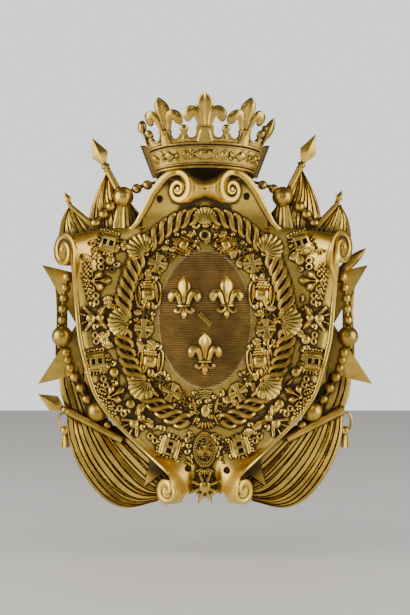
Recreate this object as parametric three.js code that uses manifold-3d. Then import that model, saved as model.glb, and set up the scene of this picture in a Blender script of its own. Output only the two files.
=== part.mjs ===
import * as THREE from 'three';
import { ConvexGeometry } from 'three/addons/geometries/ConvexGeometry.js';
import { mergeVertices } from 'three/addons/utils/BufferGeometryUtils.js';
import Module from 'manifold-3d';

// Gilded coat of arms, carved in high relief, in millimetres.
// The back lies on the wall plane y = 0, the front looks towards -Y, +Z is up and x = 0 is the middle.
// A place on the front is written [x, z]. A depth is how far a surface stands out from the wall.

// Depths of the layers
const boardThickness = 34;
const reliefLift = 6;
const crossThickness = 22;
const flagThickness = 18;
const foldHeight = 9;
const seatGap = 0.4;
const blockThickness = 20;
const sheetThickness = 15;
const rimRise = 9;
const edgeBand = 11;
const undercut = 9;
const bite = 3;

// Board against the wall, and the seat that it gives the crown
const boardHalfWidth = 292;
const boardShoulderHeight = 160;
const boardLowerHeight = -190;
const boardFootHalfWidth = 88;
const boardFootHeight = -425;
const boardNeck = [150, 190];
const boardHip = [212, -288];
const seatInset = 11;
const seatFootHeight = 262;

// Cross with eight points behind the shield
const crossCentreHeight = -54;
const crossUpperPoint = [394, 90];
const crossLowerPoint = [404, -198];
const crossNotch = 312;
const crossWaist = 66;
const crossFootPoint = [148, -446];
const crossFootNotch = -338;
const footPlateInner = [[121, -340], [62, -320], [44, -368]];
const footPlateFront = 38;

// Spears and poles
const poleRadius = 9.5;
const bladeWidth = 39;
const bladeThickness = 15;
const innerTips = [[-274, 398], [270, 408]];
const innerNecks = [[-239, 325], [232, 329]];
const innerFeet = [[-166, 200], [163, 200]];
const outerTips = [[-339, 266], [331, 270]];
const outerNecks = [[-327, 236], [319, 239]];
const outerFeet = [[-242, 162], [254, 162]];
const outerBladeWidth = 19;
const upperPoleDepth = 30;
const collarExtra = 1.5;
const collarReach = [3, -5];
const poleStart = 5;
const poleTaper = 0.75;
const sideBlade = [[318, 64], [392, 132]];
const sideBladeWidth = 26;
const lowerTip = [-403, -222];
const lowerNeck = [-336, -261];
const lowerButt = [336, -259];
const lowerFeet = [[-224, -321], [222, -318]];

// Rosary and tassels
const beadRadius = 11.4;
const beadPitch = 25.5;
const largeBeadRadius = 25.5;
const beadDepth = 34;
const threadRadius = 4.5;
const beadRuns = [
  [[139, 283], [165, 274]],
  [[228, 231], [245, 212], [264, 191]],
  [[332, 61], [341, 10], [345, -43]],
  [[335, -122], [321, -170], [286, -235]],
  [[235, -297]],
];
const largeBeads = [[345, -83], [260, -265]];
const threadInset = 4;
const threadStartHeight = 291;
const threadEnd = [182, 268];
const tasselHeads = [[-197, 254], [187, 254]];
const tasselRadius = 25;
const tasselDepth = 34;
const skirtLength = 46;
const loopPlace = [342, -290];
const loopRadii = [15, 25];
const loopOpening = [9, 16];
const loopDepths = [14, 30];
const tailEnds = [[340, -306], [338, -356]];
const tailWidth = 20;

// Cloth: every piece hangs between an outer and an inner edge, with folds that run along them
const upperFlagOuter = [[236, 320], [266, 262], [280, 212]];
const upperFlagInner = [[232, 322], [200, 258], [165, 196]];
const upperFlagRise = 6;
const shoulderClothOuter = [[330, 236], [348, 200], [355, 168]];
const shoulderClothInner = [[324, 236], [296, 208], [258, 164]];
const shoulderClothRise = 5;
const sideStripOuter = [[366, 40], [366, -130]];
const sideStripInner = [[288, 40], [288, -130]];
const sideStripRise = 4;
const sideClothOuter = [[356, -160], [352, -215], [338, -262]];
const sideClothInner = [[280, -140], [258, -215], [226, -316]];
const sideClothRise = 6;
const lowerFlagOuter = [[336, -262], [332, -330], [304, -404], [250, -474], [192, -500], [118, -484]];
const lowerFlagInner = [[222, -300], [176, -320], [136, -348], [100, -380], [78, -410], [62, -440]];
const drapes = [
  { outer: upperFlagOuter, inner: upperFlagInner, rise: upperFlagRise, folds: 3, steps: 1 },
  { outer: shoulderClothOuter, inner: shoulderClothInner, rise: shoulderClothRise, folds: 2, steps: 1 },
  { outer: sideStripOuter, inner: sideStripInner, rise: sideStripRise, folds: 2, steps: 1 },
  { outer: sideClothOuter, inner: sideClothInner, rise: sideClothRise, folds: 2, steps: 2 },
  { outer: lowerFlagOuter, inner: lowerFlagInner, rise: foldHeight, folds: 5, steps: 5 },
];

// Shield: half outline of the sheet from the middle top, round the ear, to the foot
const shieldHalfOutline = [
  [0, 278], [60, 296], [100, 296], [124, 275], [139, 240], [157, 200], [180, 178], [250, 172], [318, 164],
  [327, 120], [311, 76], [306, 0], [306, -66], [299, -110], [288, -160], [272, -210], [248, -252],
  [217, -290], [178, -330], [132, -366], [96, -398], [76, -436], [38, -446], [0, -452],
];
const earCentres = [[-342, 121], [335, 130]];
const earRadius = 38;
const earLength = 78;
const earReach = 96;
const earTurn = 51;
const topCentre = [65, 273];
const topRadii = [25, 38];
const topReach = 114;
const topTurn = 52;
const topSize = 0.92;
const spoolReach = 106;
const waistRadius = 21;
const waistHalf = 16;
const spoolEndRadius = 29;
const spoolShoulderRadius = 27;
const spoolShoulderHalf = 34;
const spoolHalfLength = 50;
const footCentre = [92, -452];
const footRadius = 36;
const footReach = 92;
const footTurn = 53;
const footLength = 46;
const scrollTurns = 1.8;
const scrollGroove = 7;
const scrollClosing = 0.86;
const ribbonWidth = 11;
const ribbonEndWidth = 7;
const drumSides = 10;
const crestCourse = [[156, 200, -4], [140, 240, 0], [124, 268, 8], [100, 296, 13]];
const rimCourse = [
  [92, -398, 0], [140, -358, 0], [214, -287, 0], [244, -249, 0], [267, -208, 0], [294, -110, 0],
  [301, -66, 0], [301, 10, 0], [305, 62, 10], [310, 92, 33], [320, 118, 45],
];
const strapCourse = [[120, -360, 0], [86, -392, 8], [64, -424, 22], [54, -450, 30]];
const strapWidth = 34;
const screwHeadRadius = 8;
const upperScrews = [104, 250];
const lowerScrews = [43, -399];
const screwDepth = 9;

// Oval field with three lilies
const ovalCentreHeight = -41;
const ovalHalfWidth = 114;
const ovalHalfHeight = 168;
const ovalRise = 22;
const lilyHeight = 102;
const lilyWidth = 80;
const lilyRise = 10;
const lilyPlaces = [[-50, 10], [52, 12], [0, -123]];
const batonLength = 36;
const batonWidth = 10;
const batonRise = 5;
const domeRings = [[1, -3], [1, 4], [0.8, 15], [0.45, 22]];
const hookCourse = [[0.07, -0.2], [0.2, 0.02], [0.36, 0.08], [0.46, -0.04], [0.38, -0.14]];
const lilyTie = -0.2;
const tieHalfWidth = 0.2;
const tieHalfHeight = 0.03;

// Knotted collar with shells
const knotCentreHeight = -43;
const knotHalfWidth = 197;
const knotHalfHeight = 250;
const knotBand = 40;
const knotPitch = 29;
const knotRise = 11;
const strandWidth = 9;
const shellRadius = 26;
const shellRise = 13;
const shellRibs = 5;
const shellSpread = 2.2;
const shellPlaces = [[156, 133], [205, -48], [153, -205]];
const palmettePlace = [0, 197];
const palmetteReach = 46;
const palmetteSpread = 2.5;
const palmetteDrop = 14;
const knotEndPlace = [38, -302];

// Outer collar of frames, trophies and rings
const chainRise = 12;
const ringRadius = 9;
const trophySize = 32;
const frameSize = 34;
const frameTurns = [-0.35, 0.12, 1.05];
const frameShape = 0.8;
const windowPlaces = [-7, 7];
const windowHalf = [4.5, 6];
const petalWidth = 19;
const petalTurn = 0.4;
const armWidth = 11;
const armTurns = [-0.62, 0.62];
const chainFrames = [[238, 137], [257, -138], [88, -347]];
const chainFlowers = [[256, 54], [223, -222]];
const chainArms = [[261, -40], [167, -286]];
const chainRings = [[251, 95], [261, 9], [262, -86], [242, -190], [194, -263], [121, -326]];
const medallionPlace = [0, -349];
const medallionRadii = [34, 42];

// Inner collar of plaques and medals
const medalRadius = 21;
const medalRise = 9;
const medalCentreRise = 5;
const plaqueRadii = [17, 22];
const plaquePlaces = [[58, 139], [135, 23], [131, -138]];
const medalPlaces = [[113, 92], [144, -63], [77, -214]];
const linkPlaces = [[103, 116], [126, 66], [147, -30], [140, -98], [100, -190], [48, -234]];
const badgePlace = [0, -238];
const badgeRadii = [36, 40];
const topRingPlace = [0, 160];
const topRingRadii = [12, 6];
const starPlace = [0, -441];
const starRadius = 42;
const starWidth = 18;
const starTurns = [0.39, 1.18, 1.96, 2.75];

// Crown
const crownClearance = 5;
const crownBandHeight = 68;
const crownFootRadius = 127;
const crownFlare = 0.382;
const crownFlattening = 0.7;
const crownArch = 17;
const crownWall = 13;
const crownMoulding = 6;
const fleuronAngles = [-35.5, 0, 35.5];
const fleuronSpread = 0.575;
const fleuronRoot = 10;
const fleuronHeight = 116;
const fleuronLift = 64;
const fleuronRise = 9;
const stemWidth = 26;
const endFleuronAngle = 69;
const endFleuronHeights = [72, 84];
const endFleuronWidth = 38;
const sideLeaf = [20, 56];
const sideLeafWidth = 24;
const pearlAngles = [-55, -17.5, 17.5, 55];
const pearlShare = 0.108;
const pearlLift = 38;
const stalkWidth = 13;
const crownRoot = 8;
const gemAngles = [-53, -18, 18, 53];
const lozengeAngles = [-35.5, 0, 35.5];
const gemRadius = 9;
const lozengeHalf = [20, 12];
const lozengeTop = 7;
const lozengeRise = 6;

const wasm = await Module();
wasm.setup();

const boardFront = boardThickness;
const blockBack = boardFront + seatGap;
const sheetBack = blockBack + blockThickness;
const sheetFront = sheetBack + sheetThickness;
const rimFront = sheetFront + rimRise;
const ovalFront = sheetFront + ovalRise;
const scrollTopHeight = topCentre[1] + topRadii[1] * topSize + ribbonWidth / 2;
const crownFootHeight = scrollTopHeight + crownClearance - crownArch;
const crownTopHeight = crownFootHeight + crownBandHeight;
const crownTopRadius = crownFootRadius + crownFlare * crownBandHeight;
const fleuronWidth = crownTopRadius * fleuronSpread;
const pearlRadius = fleuronWidth * pearlShare;

// A closed geometry as a solid, with its faces turned outwards
function solid(geometry) {
  const bare = geometry.clone();
  bare.deleteAttribute('normal');
  bare.deleteAttribute('uv');
  const merged = mergeVertices(bare, 1e-4);
  const places = merged.attributes.position.array;
  const corners = Uint32Array.from(merged.index.array);
  let volume = 0;
  const [a, b, c] = [new THREE.Vector3(), new THREE.Vector3(), new THREE.Vector3()];
  for (let i = 0; i < corners.length; i += 3) {
    a.fromArray(places, corners[i] * 3);
    b.fromArray(places, corners[i + 1] * 3);
    c.fromArray(places, corners[i + 2] * 3);
    volume += a.dot(b.cross(c));
  }
  if (volume < 0) {
    for (let i = 0; i < corners.length; i += 3) {
      [corners[i + 1], corners[i + 2]] = [corners[i + 2], corners[i + 1]];
    }
  }
  const vertProperties = Float32Array.from(places);
  return new wasm.Manifold(new wasm.Mesh({ numProp: 3, vertProperties, triVerts: corners }));
}

function join(solids) {
  return solids.reduce((whole, next) => whole.add(next));
}

function geometryOf(body) {
  const mesh = body.getMesh();
  const geometry = new THREE.BufferGeometry();
  geometry.setAttribute('position', new THREE.BufferAttribute(Float32Array.from(mesh.vertProperties), 3));
  geometry.setIndex(new THREE.BufferAttribute(Uint32Array.from(mesh.triVerts), 1));
  return geometry;
}

// The same body with every corner moved by a function
function reshaped(body, move) {
  const geometry = geometryOf(body);
  const corners = geometry.attributes.position;
  for (let k = 0; k < corners.count; k += 1) {
    const moved = move(new THREE.Vector3().fromBufferAttribute(corners, k));
    corners.setXYZ(k, moved.x, moved.y, moved.z);
  }
  return solid(geometry);
}

function at(place, depth) {
  return new THREE.Vector3(place[0], -depth, place[1]);
}

function mirrored(place, side) {
  return [side * place[0], place[1]];
}

// A whole outline from its right half, whose places in the middle aren't doubled
function bothSides(half) {
  return half.concat(half.filter(([x]) => x !== 0).map(([x, z]) => [-x, z]).reverse());
}

// A closed run of sections: place(point, step) puts each point of the profile
function sweep(profile, steps, place) {
  const outline = profile.map(([u, v]) => new THREE.Vector2(u, v));
  const count = outline.length;
  const points = [];
  for (let step = 0; step <= steps; step += 1) {
    outline.forEach((point) => points.push(place(point.x, point.y, step)));
  }
  const faces = [];
  for (let step = 0; step < steps; step += 1) {
    for (let k = 0; k < count; k += 1) {
      const [near, next] = [step * count + k, step * count + ((k + 1) % count)];
      faces.push(near, next, next + count, near, next + count, near + count);
    }
  }
  const areaOf = (corners) => THREE.ShapeUtils.area(corners.map((corner) => outline[corner]));
  const turn = Math.sign(THREE.ShapeUtils.area(outline));
  THREE.ShapeUtils.triangulateShape(outline, []).forEach((corners) => {
    const cap = Math.sign(areaOf(corners)) === turn ? corners : [...corners].reverse();
    faces.push(...[...cap].reverse(), ...cap.map((corner) => corner + steps * count));
  });
  const geometry = new THREE.BufferGeometry().setFromPoints(points);
  geometry.setIndex(faces);
  return solid(geometry);
}

// A flat form cut out of the front view, between two depths
function slab(outline, back, front, openings = []) {
  const shape = new THREE.Shape(outline.map(([x, z]) => new THREE.Vector2(x, z)));
  openings.forEach((opening) => {
    shape.holes.push(new THREE.Path(opening.map(([x, z]) => new THREE.Vector2(x, z))));
  });
  const geometry = new THREE.ExtrudeGeometry(shape, { depth: front - back, bevelEnabled: false });
  geometry.rotateX(Math.PI / 2);
  geometry.translate(0, -back, 0);
  return solid(geometry);
}

// The tight hull of points given as [x, z, depth]
function hull(points) {
  return solid(new ConvexGeometry(points.map(([x, z, depth]) => new THREE.Vector3(x, -depth, z))));
}

function ellipse(centre, radii, count, turn = 0) {
  return Array.from({ length: count }, (_, k) => {
    const angle = turn + (2 * Math.PI * k) / count;
    return [centre[0] + radii[0] * Math.cos(angle), centre[1] + radii[1] * Math.sin(angle)];
  });
}

// An outline moved outwards by a distance, or inwards by a negative one
function offset(outline, distance) {
  const turn = THREE.ShapeUtils.area(outline.map(([x, y]) => ({ x, y }))) > 0 ? 1 : -1;
  return outline.map((point, k) => {
    const before = outline.at(k - 1);
    const after = outline[(k + 1) % outline.length];
    const along = new THREE.Vector2(after[0] - before[0], after[1] - before[1]).normalize();
    return [point[0] + turn * along.y * distance, point[1] - turn * along.x * distance];
  });
}

// A round bar between two places in space
function bar(start, end, startRadius, endRadius, sides = 8) {
  const length = start.distanceTo(end);
  const geometry = new THREE.CylinderGeometry(endRadius, startRadius, length, sides);
  const upright = new THREE.Vector3(0, 1, 0);
  const along = end.clone().sub(start).normalize();
  geometry.applyQuaternion(new THREE.Quaternion().setFromUnitVectors(upright, along));
  geometry.translate(...start.clone().add(end).multiplyScalar(0.5).toArray());
  return solid(geometry);
}

function ball(place, depth, radius, sides = 8, rings = 5) {
  const geometry = new THREE.SphereGeometry(radius, sides, rings);
  geometry.translate(place[0], -depth, place[1]);
  return solid(geometry);
}

const flatSection = [[-1, 0], [1, 0], [0.8, 1], [-0.8, 1]];
const ridgeSection = [[-1, 0], [1, 0], [0, 1]];

// A smooth band through places [x, z, front], of a width, down to a depth
function band(places, width, back, steps, endWidth = width, section = flatSection) {
  const route = new THREE.CatmullRomCurve3(places.map(([x, z, front]) => new THREE.Vector3(x, z, front)));
  const rows = Array.from({ length: steps + 1 }, (_, step) => {
    const point = route.getPoint(step / steps);
    const along = route.getTangent(step / steps);
    const across = new THREE.Vector2(-along.y, along.x).normalize();
    return { point, across, half: (width + (endWidth - width) * (step / steps)) / 2 };
  });
  return sweep(section, steps, (u, v, step) => {
    const { point, across, half } = rows[step];
    const depth = back + (point.z - back) * v;
    return new THREE.Vector3(point.x + across.x * half * u, -depth, point.y + across.y * half * u);
  });
}

// A leaf with a raised spine from its root to its tip
function leaf(root, tip, width, back, front, belly = 0.45) {
  const [dx, dz] = [tip[0] - root[0], tip[1] - root[1]];
  const length = Math.hypot(dx, dz);
  const [ax, az] = [(-dz / length) * (width / 2), (dx / length) * (width / 2)];
  const spot = (share, across, depth) => [
    root[0] + dx * share + ax * across, root[1] + dz * share + az * across, depth,
  ];
  return hull([
    spot(0, 0.35, back), spot(0, -0.35, back), spot(belly, 1, back), spot(belly, -1, back),
    spot(1, 0, back), spot(0.1, 0, front), spot(belly, 0, front), spot(0.8, 0, (front + back) / 2),
  ]);
}

// The winding ribbon of a scroll, flat in its own plane, as an outline
function scrollOutline(radius, turns, width, direction) {
  const steps = Math.round(turns * 5.5);
  const outer = [];
  const inner = [];
  for (let step = 0; step <= steps; step += 1) {
    const share = step / steps;
    const angle = direction * turns * 2 * Math.PI * share;
    const middle = (radius - width / 2) * (1 - scrollClosing * share);
    const half = (width / 2) * (1 - 0.35 * share);
    outer.push([Math.cos(angle) * (middle + half), Math.sin(angle) * (middle + half)]);
    inner.push([Math.cos(angle) * (middle - half), Math.sin(angle) * (middle - half)]);
  }
  return outer.concat(inner.reverse());
}

// A rolled end of the sheet: a drum with a scroll on its face, which looks outwards and forwards
function scrollDrum(side, centre, reach, radius, length, turnDegrees, direction) {
  const ribbon = slab(scrollOutline(radius, scrollTurns, ribbonWidth, direction), -1, scrollGroove);
  const drum = slab(ellipse([0, 0], [radius - bite / 4, radius - bite / 4], drumSides), -length, 0);
  const angle = THREE.MathUtils.degToRad(turnDegrees);
  const upright = new THREE.Vector3(0, 0, 1);
  const turned = reshaped(join([ribbon, drum]), (corner) => {
    corner.applyAxisAngle(upright, -angle);
    return new THREE.Vector3(centre[0] - side * corner.x, corner.y - reach, corner.z + centre[1]);
  });
  const behind = ellipse(centre, [length * 2, length * 2], 4, Math.PI / 4);
  return turned.subtract(slab(behind, -length, sheetBack));
}

// One lily: petal, two hooks, foot and tie
function lily(place, width, height, back, rise) {
  const [x, z] = place;
  const front = back + rise;
  const foot = back - bite;
  const tie = z + height * lilyTie;
  const forms = [leaf([x, tie], [x, z + height * 0.5], width * 0.46, foot, front, 0.5)];
  [-1, 1].forEach((side) => {
    const hook = hookCourse.map(([across, up]) => [x + side * width * across, z + height * up, front]);
    forms.push(band(hook, width * 0.18, foot, 3, width * 0.32, ridgeSection));
  });
  forms.push(leaf([x, tie + height * 0.1], [x, z - height * 0.5], width * 0.32, foot, front, 0.6));
  const [halfWidth, halfHeight] = [width * tieHalfWidth, height * tieHalfHeight];
  const bar = [
    [x - halfWidth, tie - halfHeight], [x + halfWidth, tie - halfHeight],
    [x + halfWidth, tie + halfHeight], [x - halfWidth, tie + halfHeight],
  ];
  forms.push(slab(bar, foot, front));
  return forms;
}

// Ribbed fan opening away from its hinge
function shell(hinge, away, radius, back, rise, spread) {
  const rows = shellRibs * 2;
  const rim = Array.from({ length: rows + 1 }, (_, k) => {
    const angle = away - spread / 2 + (spread * k) / rows;
    const reach = radius * (k % 2 ? 1 : 0.88);
    return [hinge[0] + reach * Math.cos(angle), hinge[1] + reach * Math.sin(angle)];
  });
  const points = [at(hinge, back + rise * 0.6), at(hinge, back - bite)];
  rim.forEach((place, k) => {
    points.push(at(place, back + rise * (k % 2 ? 1 : 0.3)));
    points.push(at(place, back - bite));
  });
  const faces = [];
  for (let k = 0; k < rows; k += 1) {
    const [top, foot] = [2 + k * 2, 3 + k * 2];
    faces.push(0, top, top + 2, top, foot, foot + 2, top, foot + 2, top + 2, foot, 1, foot + 2);
  }
  const end = 2 + rows * 2;
  faces.push(0, 1, 3, 0, 3, 2, 0, end, end + 1, 0, end + 1, 1);
  const geometry = new THREE.BufferGeometry().setFromPoints(points);
  geometry.setIndex(faces);
  return solid(geometry);
}

// Cloth between two edges, with folds that run along them
function cloth(outer, inner, folds, back, front, steps, foldRise) {
  const edges = [outer, inner].map((edge) => {
    const places = edge.map(([x, z]) => new THREE.Vector3(x, z, 0));
    return new THREE.CatmullRomCurve3(places);
  });
  const rows = folds * 2;
  const section = [[0, 0]];
  for (let k = 0; k <= rows; k += 1) {
    section.push([k / rows, k % 2 ? 1 : 0.5]);
  }
  section.push([1, 0]);
  return sweep(section, steps, (u, v, step) => {
    const share = step / steps;
    const place = edges[0].getPoint(share).lerp(edges[1].getPoint(share), u);
    const swell = 0.45 + 0.55 * Math.sin(Math.PI * (0.15 + 0.75 * share));
    const depth = v === 0 ? back : front + (v - 0.5) * 2 * foldRise * swell;
    return new THREE.Vector3(place.x, -depth, place.y);
  });
}

function spear(tip, neck, foot, width, depth) {
  const [dx, dz] = [tip[0] - neck[0], tip[1] - neck[1]];
  const length = Math.hypot(dx, dz);
  const [ax, az] = [(-dz / length) * (width / 2), (dx / length) * (width / 2)];
  const widest = [neck[0] + dx * 0.45, neck[1] + dz * 0.45];
  const thick = bladeThickness / 2;
  const blade = hull([
    [tip[0], tip[1], depth], [widest[0] + ax, widest[1] + az, depth], [widest[0] - ax, widest[1] - az, depth],
    [widest[0], widest[1], depth + thick], [widest[0], widest[1], depth - thick],
    [neck[0] + ax * 0.3, neck[1] + az * 0.3, depth], [neck[0] - ax * 0.3, neck[1] - az * 0.3, depth],
  ]);
  const along = (reach) => at([neck[0] + (dx / length) * reach, neck[1] + (dz / length) * reach], depth);
  return [
    blade,
    bar(along(collarReach[0]), along(collarReach[1]), poleRadius + collarExtra, poleRadius + collarExtra, 6),
    bar(along(poleStart), at(foot, depth), poleRadius * poleTaper, poleRadius, 6),
  ];
}

function tassel(head, radius, length, back) {
  const [x, z] = head;
  const skirt = new THREE.CylinderGeometry(radius * 0.6, radius * 0.92, length, 7);
  skirt.rotateX(Math.PI / 2);
  skirt.translate(x, -back, z - radius * 0.75 - length / 2);
  return [ball(head, back + 4, radius, 8, 5), solid(skirt)];
}

// Runs of beads down one side
function rosary(side) {
  const forms = [];
  beadRuns.forEach((run) => {
    const places = run.map(([x, z]) => new THREE.Vector3(side * x, z, 0));
    const line = new THREE.CatmullRomCurve3(places.length > 1 ? places : [places[0], places[0]]);
    const count = Math.round(line.getLength() / beadPitch);
    for (let k = 0; k <= count; k += 1) {
      const place = line.getPoint(count ? k / count : 0);
      forms.push(ball([place.x, place.y], beadDepth, beadRadius, 6, 3));
    }
  });
  largeBeads.forEach((place) => {
    forms.push(ball(mirrored(place, side), beadDepth, largeBeadRadius, 8, 5));
  });
  const threadStart = [crownFootRadius - seatInset - threadInset, threadStartHeight];
  const [start, end] = [threadStart, threadEnd].map((place) => mirrored(place, side));
  forms.push(bar(at(start, boardFront - threadRadius), at(end, beadDepth), threadRadius, threadRadius, 4));
  return forms;
}

function trophyGround(shieldOutline) {
  const board = [
    [crownTopRadius - seatInset, crownTopHeight], [crownFootRadius - seatInset, crownFootHeight],
    [crownFootRadius - seatInset, seatFootHeight], boardNeck,
    [boardHalfWidth, boardShoulderHeight], [boardHalfWidth, boardLowerHeight],
    boardHip, [boardFootHalfWidth, boardFootHeight],
  ];
  const cross = [
    [crossWaist, crossCentreHeight + crossWaist], crossUpperPoint, [crossNotch, crossCentreHeight],
    crossLowerPoint, [crossWaist, crossCentreHeight - crossWaist], crossFootPoint, [0, crossFootNotch],
  ];
  const forms = [
    slab(bothSides(board), 0, boardFront),
    slab(bothSides(cross), reliefLift, reliefLift + crossThickness),
  ];
  const clothFront = reliefLift + flagThickness;
  [-1, 1].forEach((side, which) => {
    const onSide = (places) => places.map((place) => mirrored(place, side));
    forms.push(
      ...spear(innerTips[which], innerNecks[which], innerFeet[which], bladeWidth, upperPoleDepth),
      ...spear(outerTips[which], outerNecks[which], outerFeet[which], outerBladeWidth, upperPoleDepth),
      ...tassel(tasselHeads[which], tasselRadius, skirtLength, tasselDepth),
      ...rosary(side),
    );
    drapes.forEach(({ outer, inner, folds, steps, rise }) => {
      forms.push(cloth(onSide(outer), onSide(inner), folds, reliefLift, clothFront, steps, rise));
    });
    const loopCentre = mirrored(loopPlace, side);
    const opening = ellipse(loopCentre, loopOpening, 4).reverse();
    forms.push(
      leaf(...onSide(sideBlade), sideBladeWidth, reliefLift, boardFront, 0.5),
      slab(ellipse(loopCentre, loopRadii, 6), ...loopDepths, [opening]),
      leaf(...onSide(tailEnds), tailWidth, reliefLift, reliefLift + crossThickness, 0.7),
      slab(onSide([crossFootPoint, ...footPlateInner]), reliefLift, footPlateFront),
    );
  });
  const poleDepth = clothFront + foldHeight * 0.75 + poleRadius;
  forms.push(...spear(lowerTip, lowerNeck, lowerFeet[0], bladeWidth, poleDepth));
  forms.push(bar(at(lowerButt, poleDepth), at(lowerFeet[1], poleDepth), poleRadius, poleRadius, 6));
  const cuts = [
    slab(offset(offset(shieldOutline, -undercut), seatGap), boardFront, rimFront * 2),
    slab(offset(shieldOutline, seatGap), sheetBack - seatGap, rimFront * 2),
  ];
  return cuts.reduce((whole, cut) => whole.subtract(cut), join(forms));
}

// A boss with a smaller top
function boss(place, radii, topShare, back, front, sides, topSides) {
  const smaller = radii.map((radius) => radius * topShare);
  const foot = ellipse(place, radii, sides).map(([x, z]) => [x, z, back]);
  return hull(foot.concat(ellipse(place, smaller, topSides).map(([x, z]) => [x, z, front])));
}

function outerChain() {
  const base = sheetFront - bite;
  const front = sheetFront + chainRise;
  const towards = ([x, z], angle, reach) => [x + Math.cos(angle) * reach, z + Math.sin(angle) * reach];
  const forms = [];
  [-1, 1].forEach((side) => {
    chainRings.forEach((place) => {
      forms.push(boss(mirrored(place, side), [ringRadius, ringRadius * 1.5], 0.5, base, front - 2, 4, 4));
    });
    chainFrames.forEach((place, k) => {
      const [centre, angle] = [mirrored(place, side), frameTurns[k] * side];
      const turned = ([u, v]) => [
        centre[0] + u * Math.cos(angle) - v * Math.sin(angle),
        centre[1] + u * Math.sin(angle) + v * Math.cos(angle),
      ];
      const oblong = (middle, [w, h]) => [
        [middle - w, -h], [middle + w, -h], [middle + w, h], [middle - w, h],
      ].map(turned);
      const outline = oblong(0, [frameSize / 2, (frameSize / 2) * frameShape]);
      forms.push(slab(outline, base, front, windowPlaces.map((middle) => oblong(middle, windowHalf))));
    });
    chainFlowers.forEach((place) => {
      const centre = mirrored(place, side);
      for (let k = 0; k < 4; k += 1) {
        const tip = towards(centre, (k * Math.PI) / 2 + petalTurn, trophySize * 0.75);
        forms.push(leaf(centre, tip, petalWidth, base, front, 0.6));
      }
    });
    chainArms.forEach((place) => {
      const centre = mirrored(place, side);
      armTurns.forEach((angle) => {
        const [root, tip] = [-trophySize, trophySize].map((reach) => towards(centre, angle, reach));
        forms.push(leaf(root, tip, armWidth, base, front - 3, 0.5));
      });
      forms.push(boss(centre, [trophySize * 0.42, trophySize * 0.5], 0.5, base, front + 2, 6, 4));
    });
  });
  forms.push(boss(medallionPlace, medallionRadii, 0.7, base, front, 12, 8));
  starTurns.forEach((angle) => {
    const [root, tip] = [-starRadius, starRadius].map((reach) => towards(starPlace, angle, reach));
    forms.push(leaf(root, tip, starWidth, sheetBack, front, 0.5));
  });
  return forms;
}

function knotCollar() {
  const base = sheetFront - bite;
  const front = sheetFront + knotRise;
  const onOval = (angle, out = 0) => [(knotHalfWidth + out) * Math.cos(angle),
    knotCentreHeight + (knotHalfHeight + out) * Math.sin(angle)];
  const angleOf = ([x, z]) => Math.atan2((z - knotCentreHeight) / knotHalfHeight, x / knotHalfWidth);
  const forms = [];
  [-1, 1].forEach((side) => {
    const stops = [palmettePlace, ...shellPlaces, knotEndPlace].map(angleOf);
    for (let run = 0; run < stops.length - 1; run += 1) {
      const span = Math.abs(stops[run] - stops[run + 1]);
      const middle = (stops[run] + stops[run + 1]) / 2;
      const speed = Math.hypot(knotHalfWidth * Math.sin(middle), knotHalfHeight * Math.cos(middle));
      const free = span * speed - shellRadius * 1.1;
      const count = Math.round(free / knotPitch);
      for (let k = 0; k < count; k += 1) {
        const centre = middle + ((k - (count - 1) / 2) * (free / count)) / speed;
        const reach = (0.62 * (free / count)) / speed;
        const across = (knotBand - strandWidth) / 2;
        const start = mirrored(onOval(centre - reach, -across), side);
        const end = mirrored(onOval(centre + reach, across), side);
        forms.push(leaf(start, end, strandWidth * 1.3, base, front, 0.5));
      }
    }
    shellPlaces.forEach((place) => {
      const away = Math.atan2(place[1] - knotCentreHeight, side * place[0]);
      const inwards = shellRadius * 0.9;
      const hinge = [side * place[0] - Math.cos(away) * inwards, place[1] - Math.sin(away) * inwards];
      forms.push(shell(hinge, away, shellRadius * 1.75, sheetFront, shellRise, shellSpread));
    });
  });
  const root = [palmettePlace[0], palmettePlace[1] - palmetteDrop];
  forms.push(shell(root, Math.PI / 2, palmetteReach, sheetFront, shellRise, palmetteSpread));
  return forms;
}

function innerCollar() {
  const base = sheetFront - bite;
  const front = sheetFront + medalRise;
  const forms = [];
  [-1, 1].forEach((side) => {
    medalPlaces.forEach((place) => {
      const centre = mirrored(place, side);
      forms.push(boss(centre, [medalRadius, medalRadius], 0.8, base, front, 8, 8));
      const inner = medalRadius * 0.7;
      forms.push(boss(centre, [inner, inner], 0.3, front - bite, front + medalCentreRise, 4, 4));
    });
    plaquePlaces.forEach((place) => {
      forms.push(boss(mirrored(place, side), plaqueRadii, 0.62, base, front + 2, 8, 4));
    });
    linkPlaces.forEach((place) => {
      forms.push(boss(mirrored(place, side), [ringRadius * 0.8, ringRadius], 0.5, base, front, 4, 4));
    });
  });
  const [ring, opening] = topRingRadii.map((radius) => ellipse(topRingPlace, [radius, radius], 8));
  forms.push(slab(ring, base, front, [opening.reverse()]));
  forms.push(boss(badgePlace, badgeRadii, 0.55, base, front + 6, 10, 5));
  return forms;
}

function ovalField() {
  const centre = [0, ovalCentreHeight];
  const points = domeRings.flatMap(([share, rise]) => {
    const radii = [ovalHalfWidth * share, ovalHalfHeight * share];
    return ellipse(centre, radii, share > 0.5 ? 20 : 10).map(([x, z]) => [x, z, sheetFront + rise]);
  });
  const forms = [hull(points)];
  lilyPlaces.forEach((place) => {
    const away = Math.hypot(place[0] / ovalHalfWidth, (place[1] - ovalCentreHeight) / ovalHalfHeight);
    const depth = ovalFront - ovalRise * 0.75 * away * away;
    forms.push(...lily(place, lilyWidth, lilyHeight, depth, lilyRise));
  });
  const reach = batonLength / (2 * Math.SQRT2);
  const batonFront = ovalFront + batonRise;
  const baton = [-reach, reach].map((x) => [x, ovalCentreHeight - x, batonFront]);
  forms.push(band(baton, batonWidth, ovalFront - bite * 3, 1));
  return forms;
}

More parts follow.
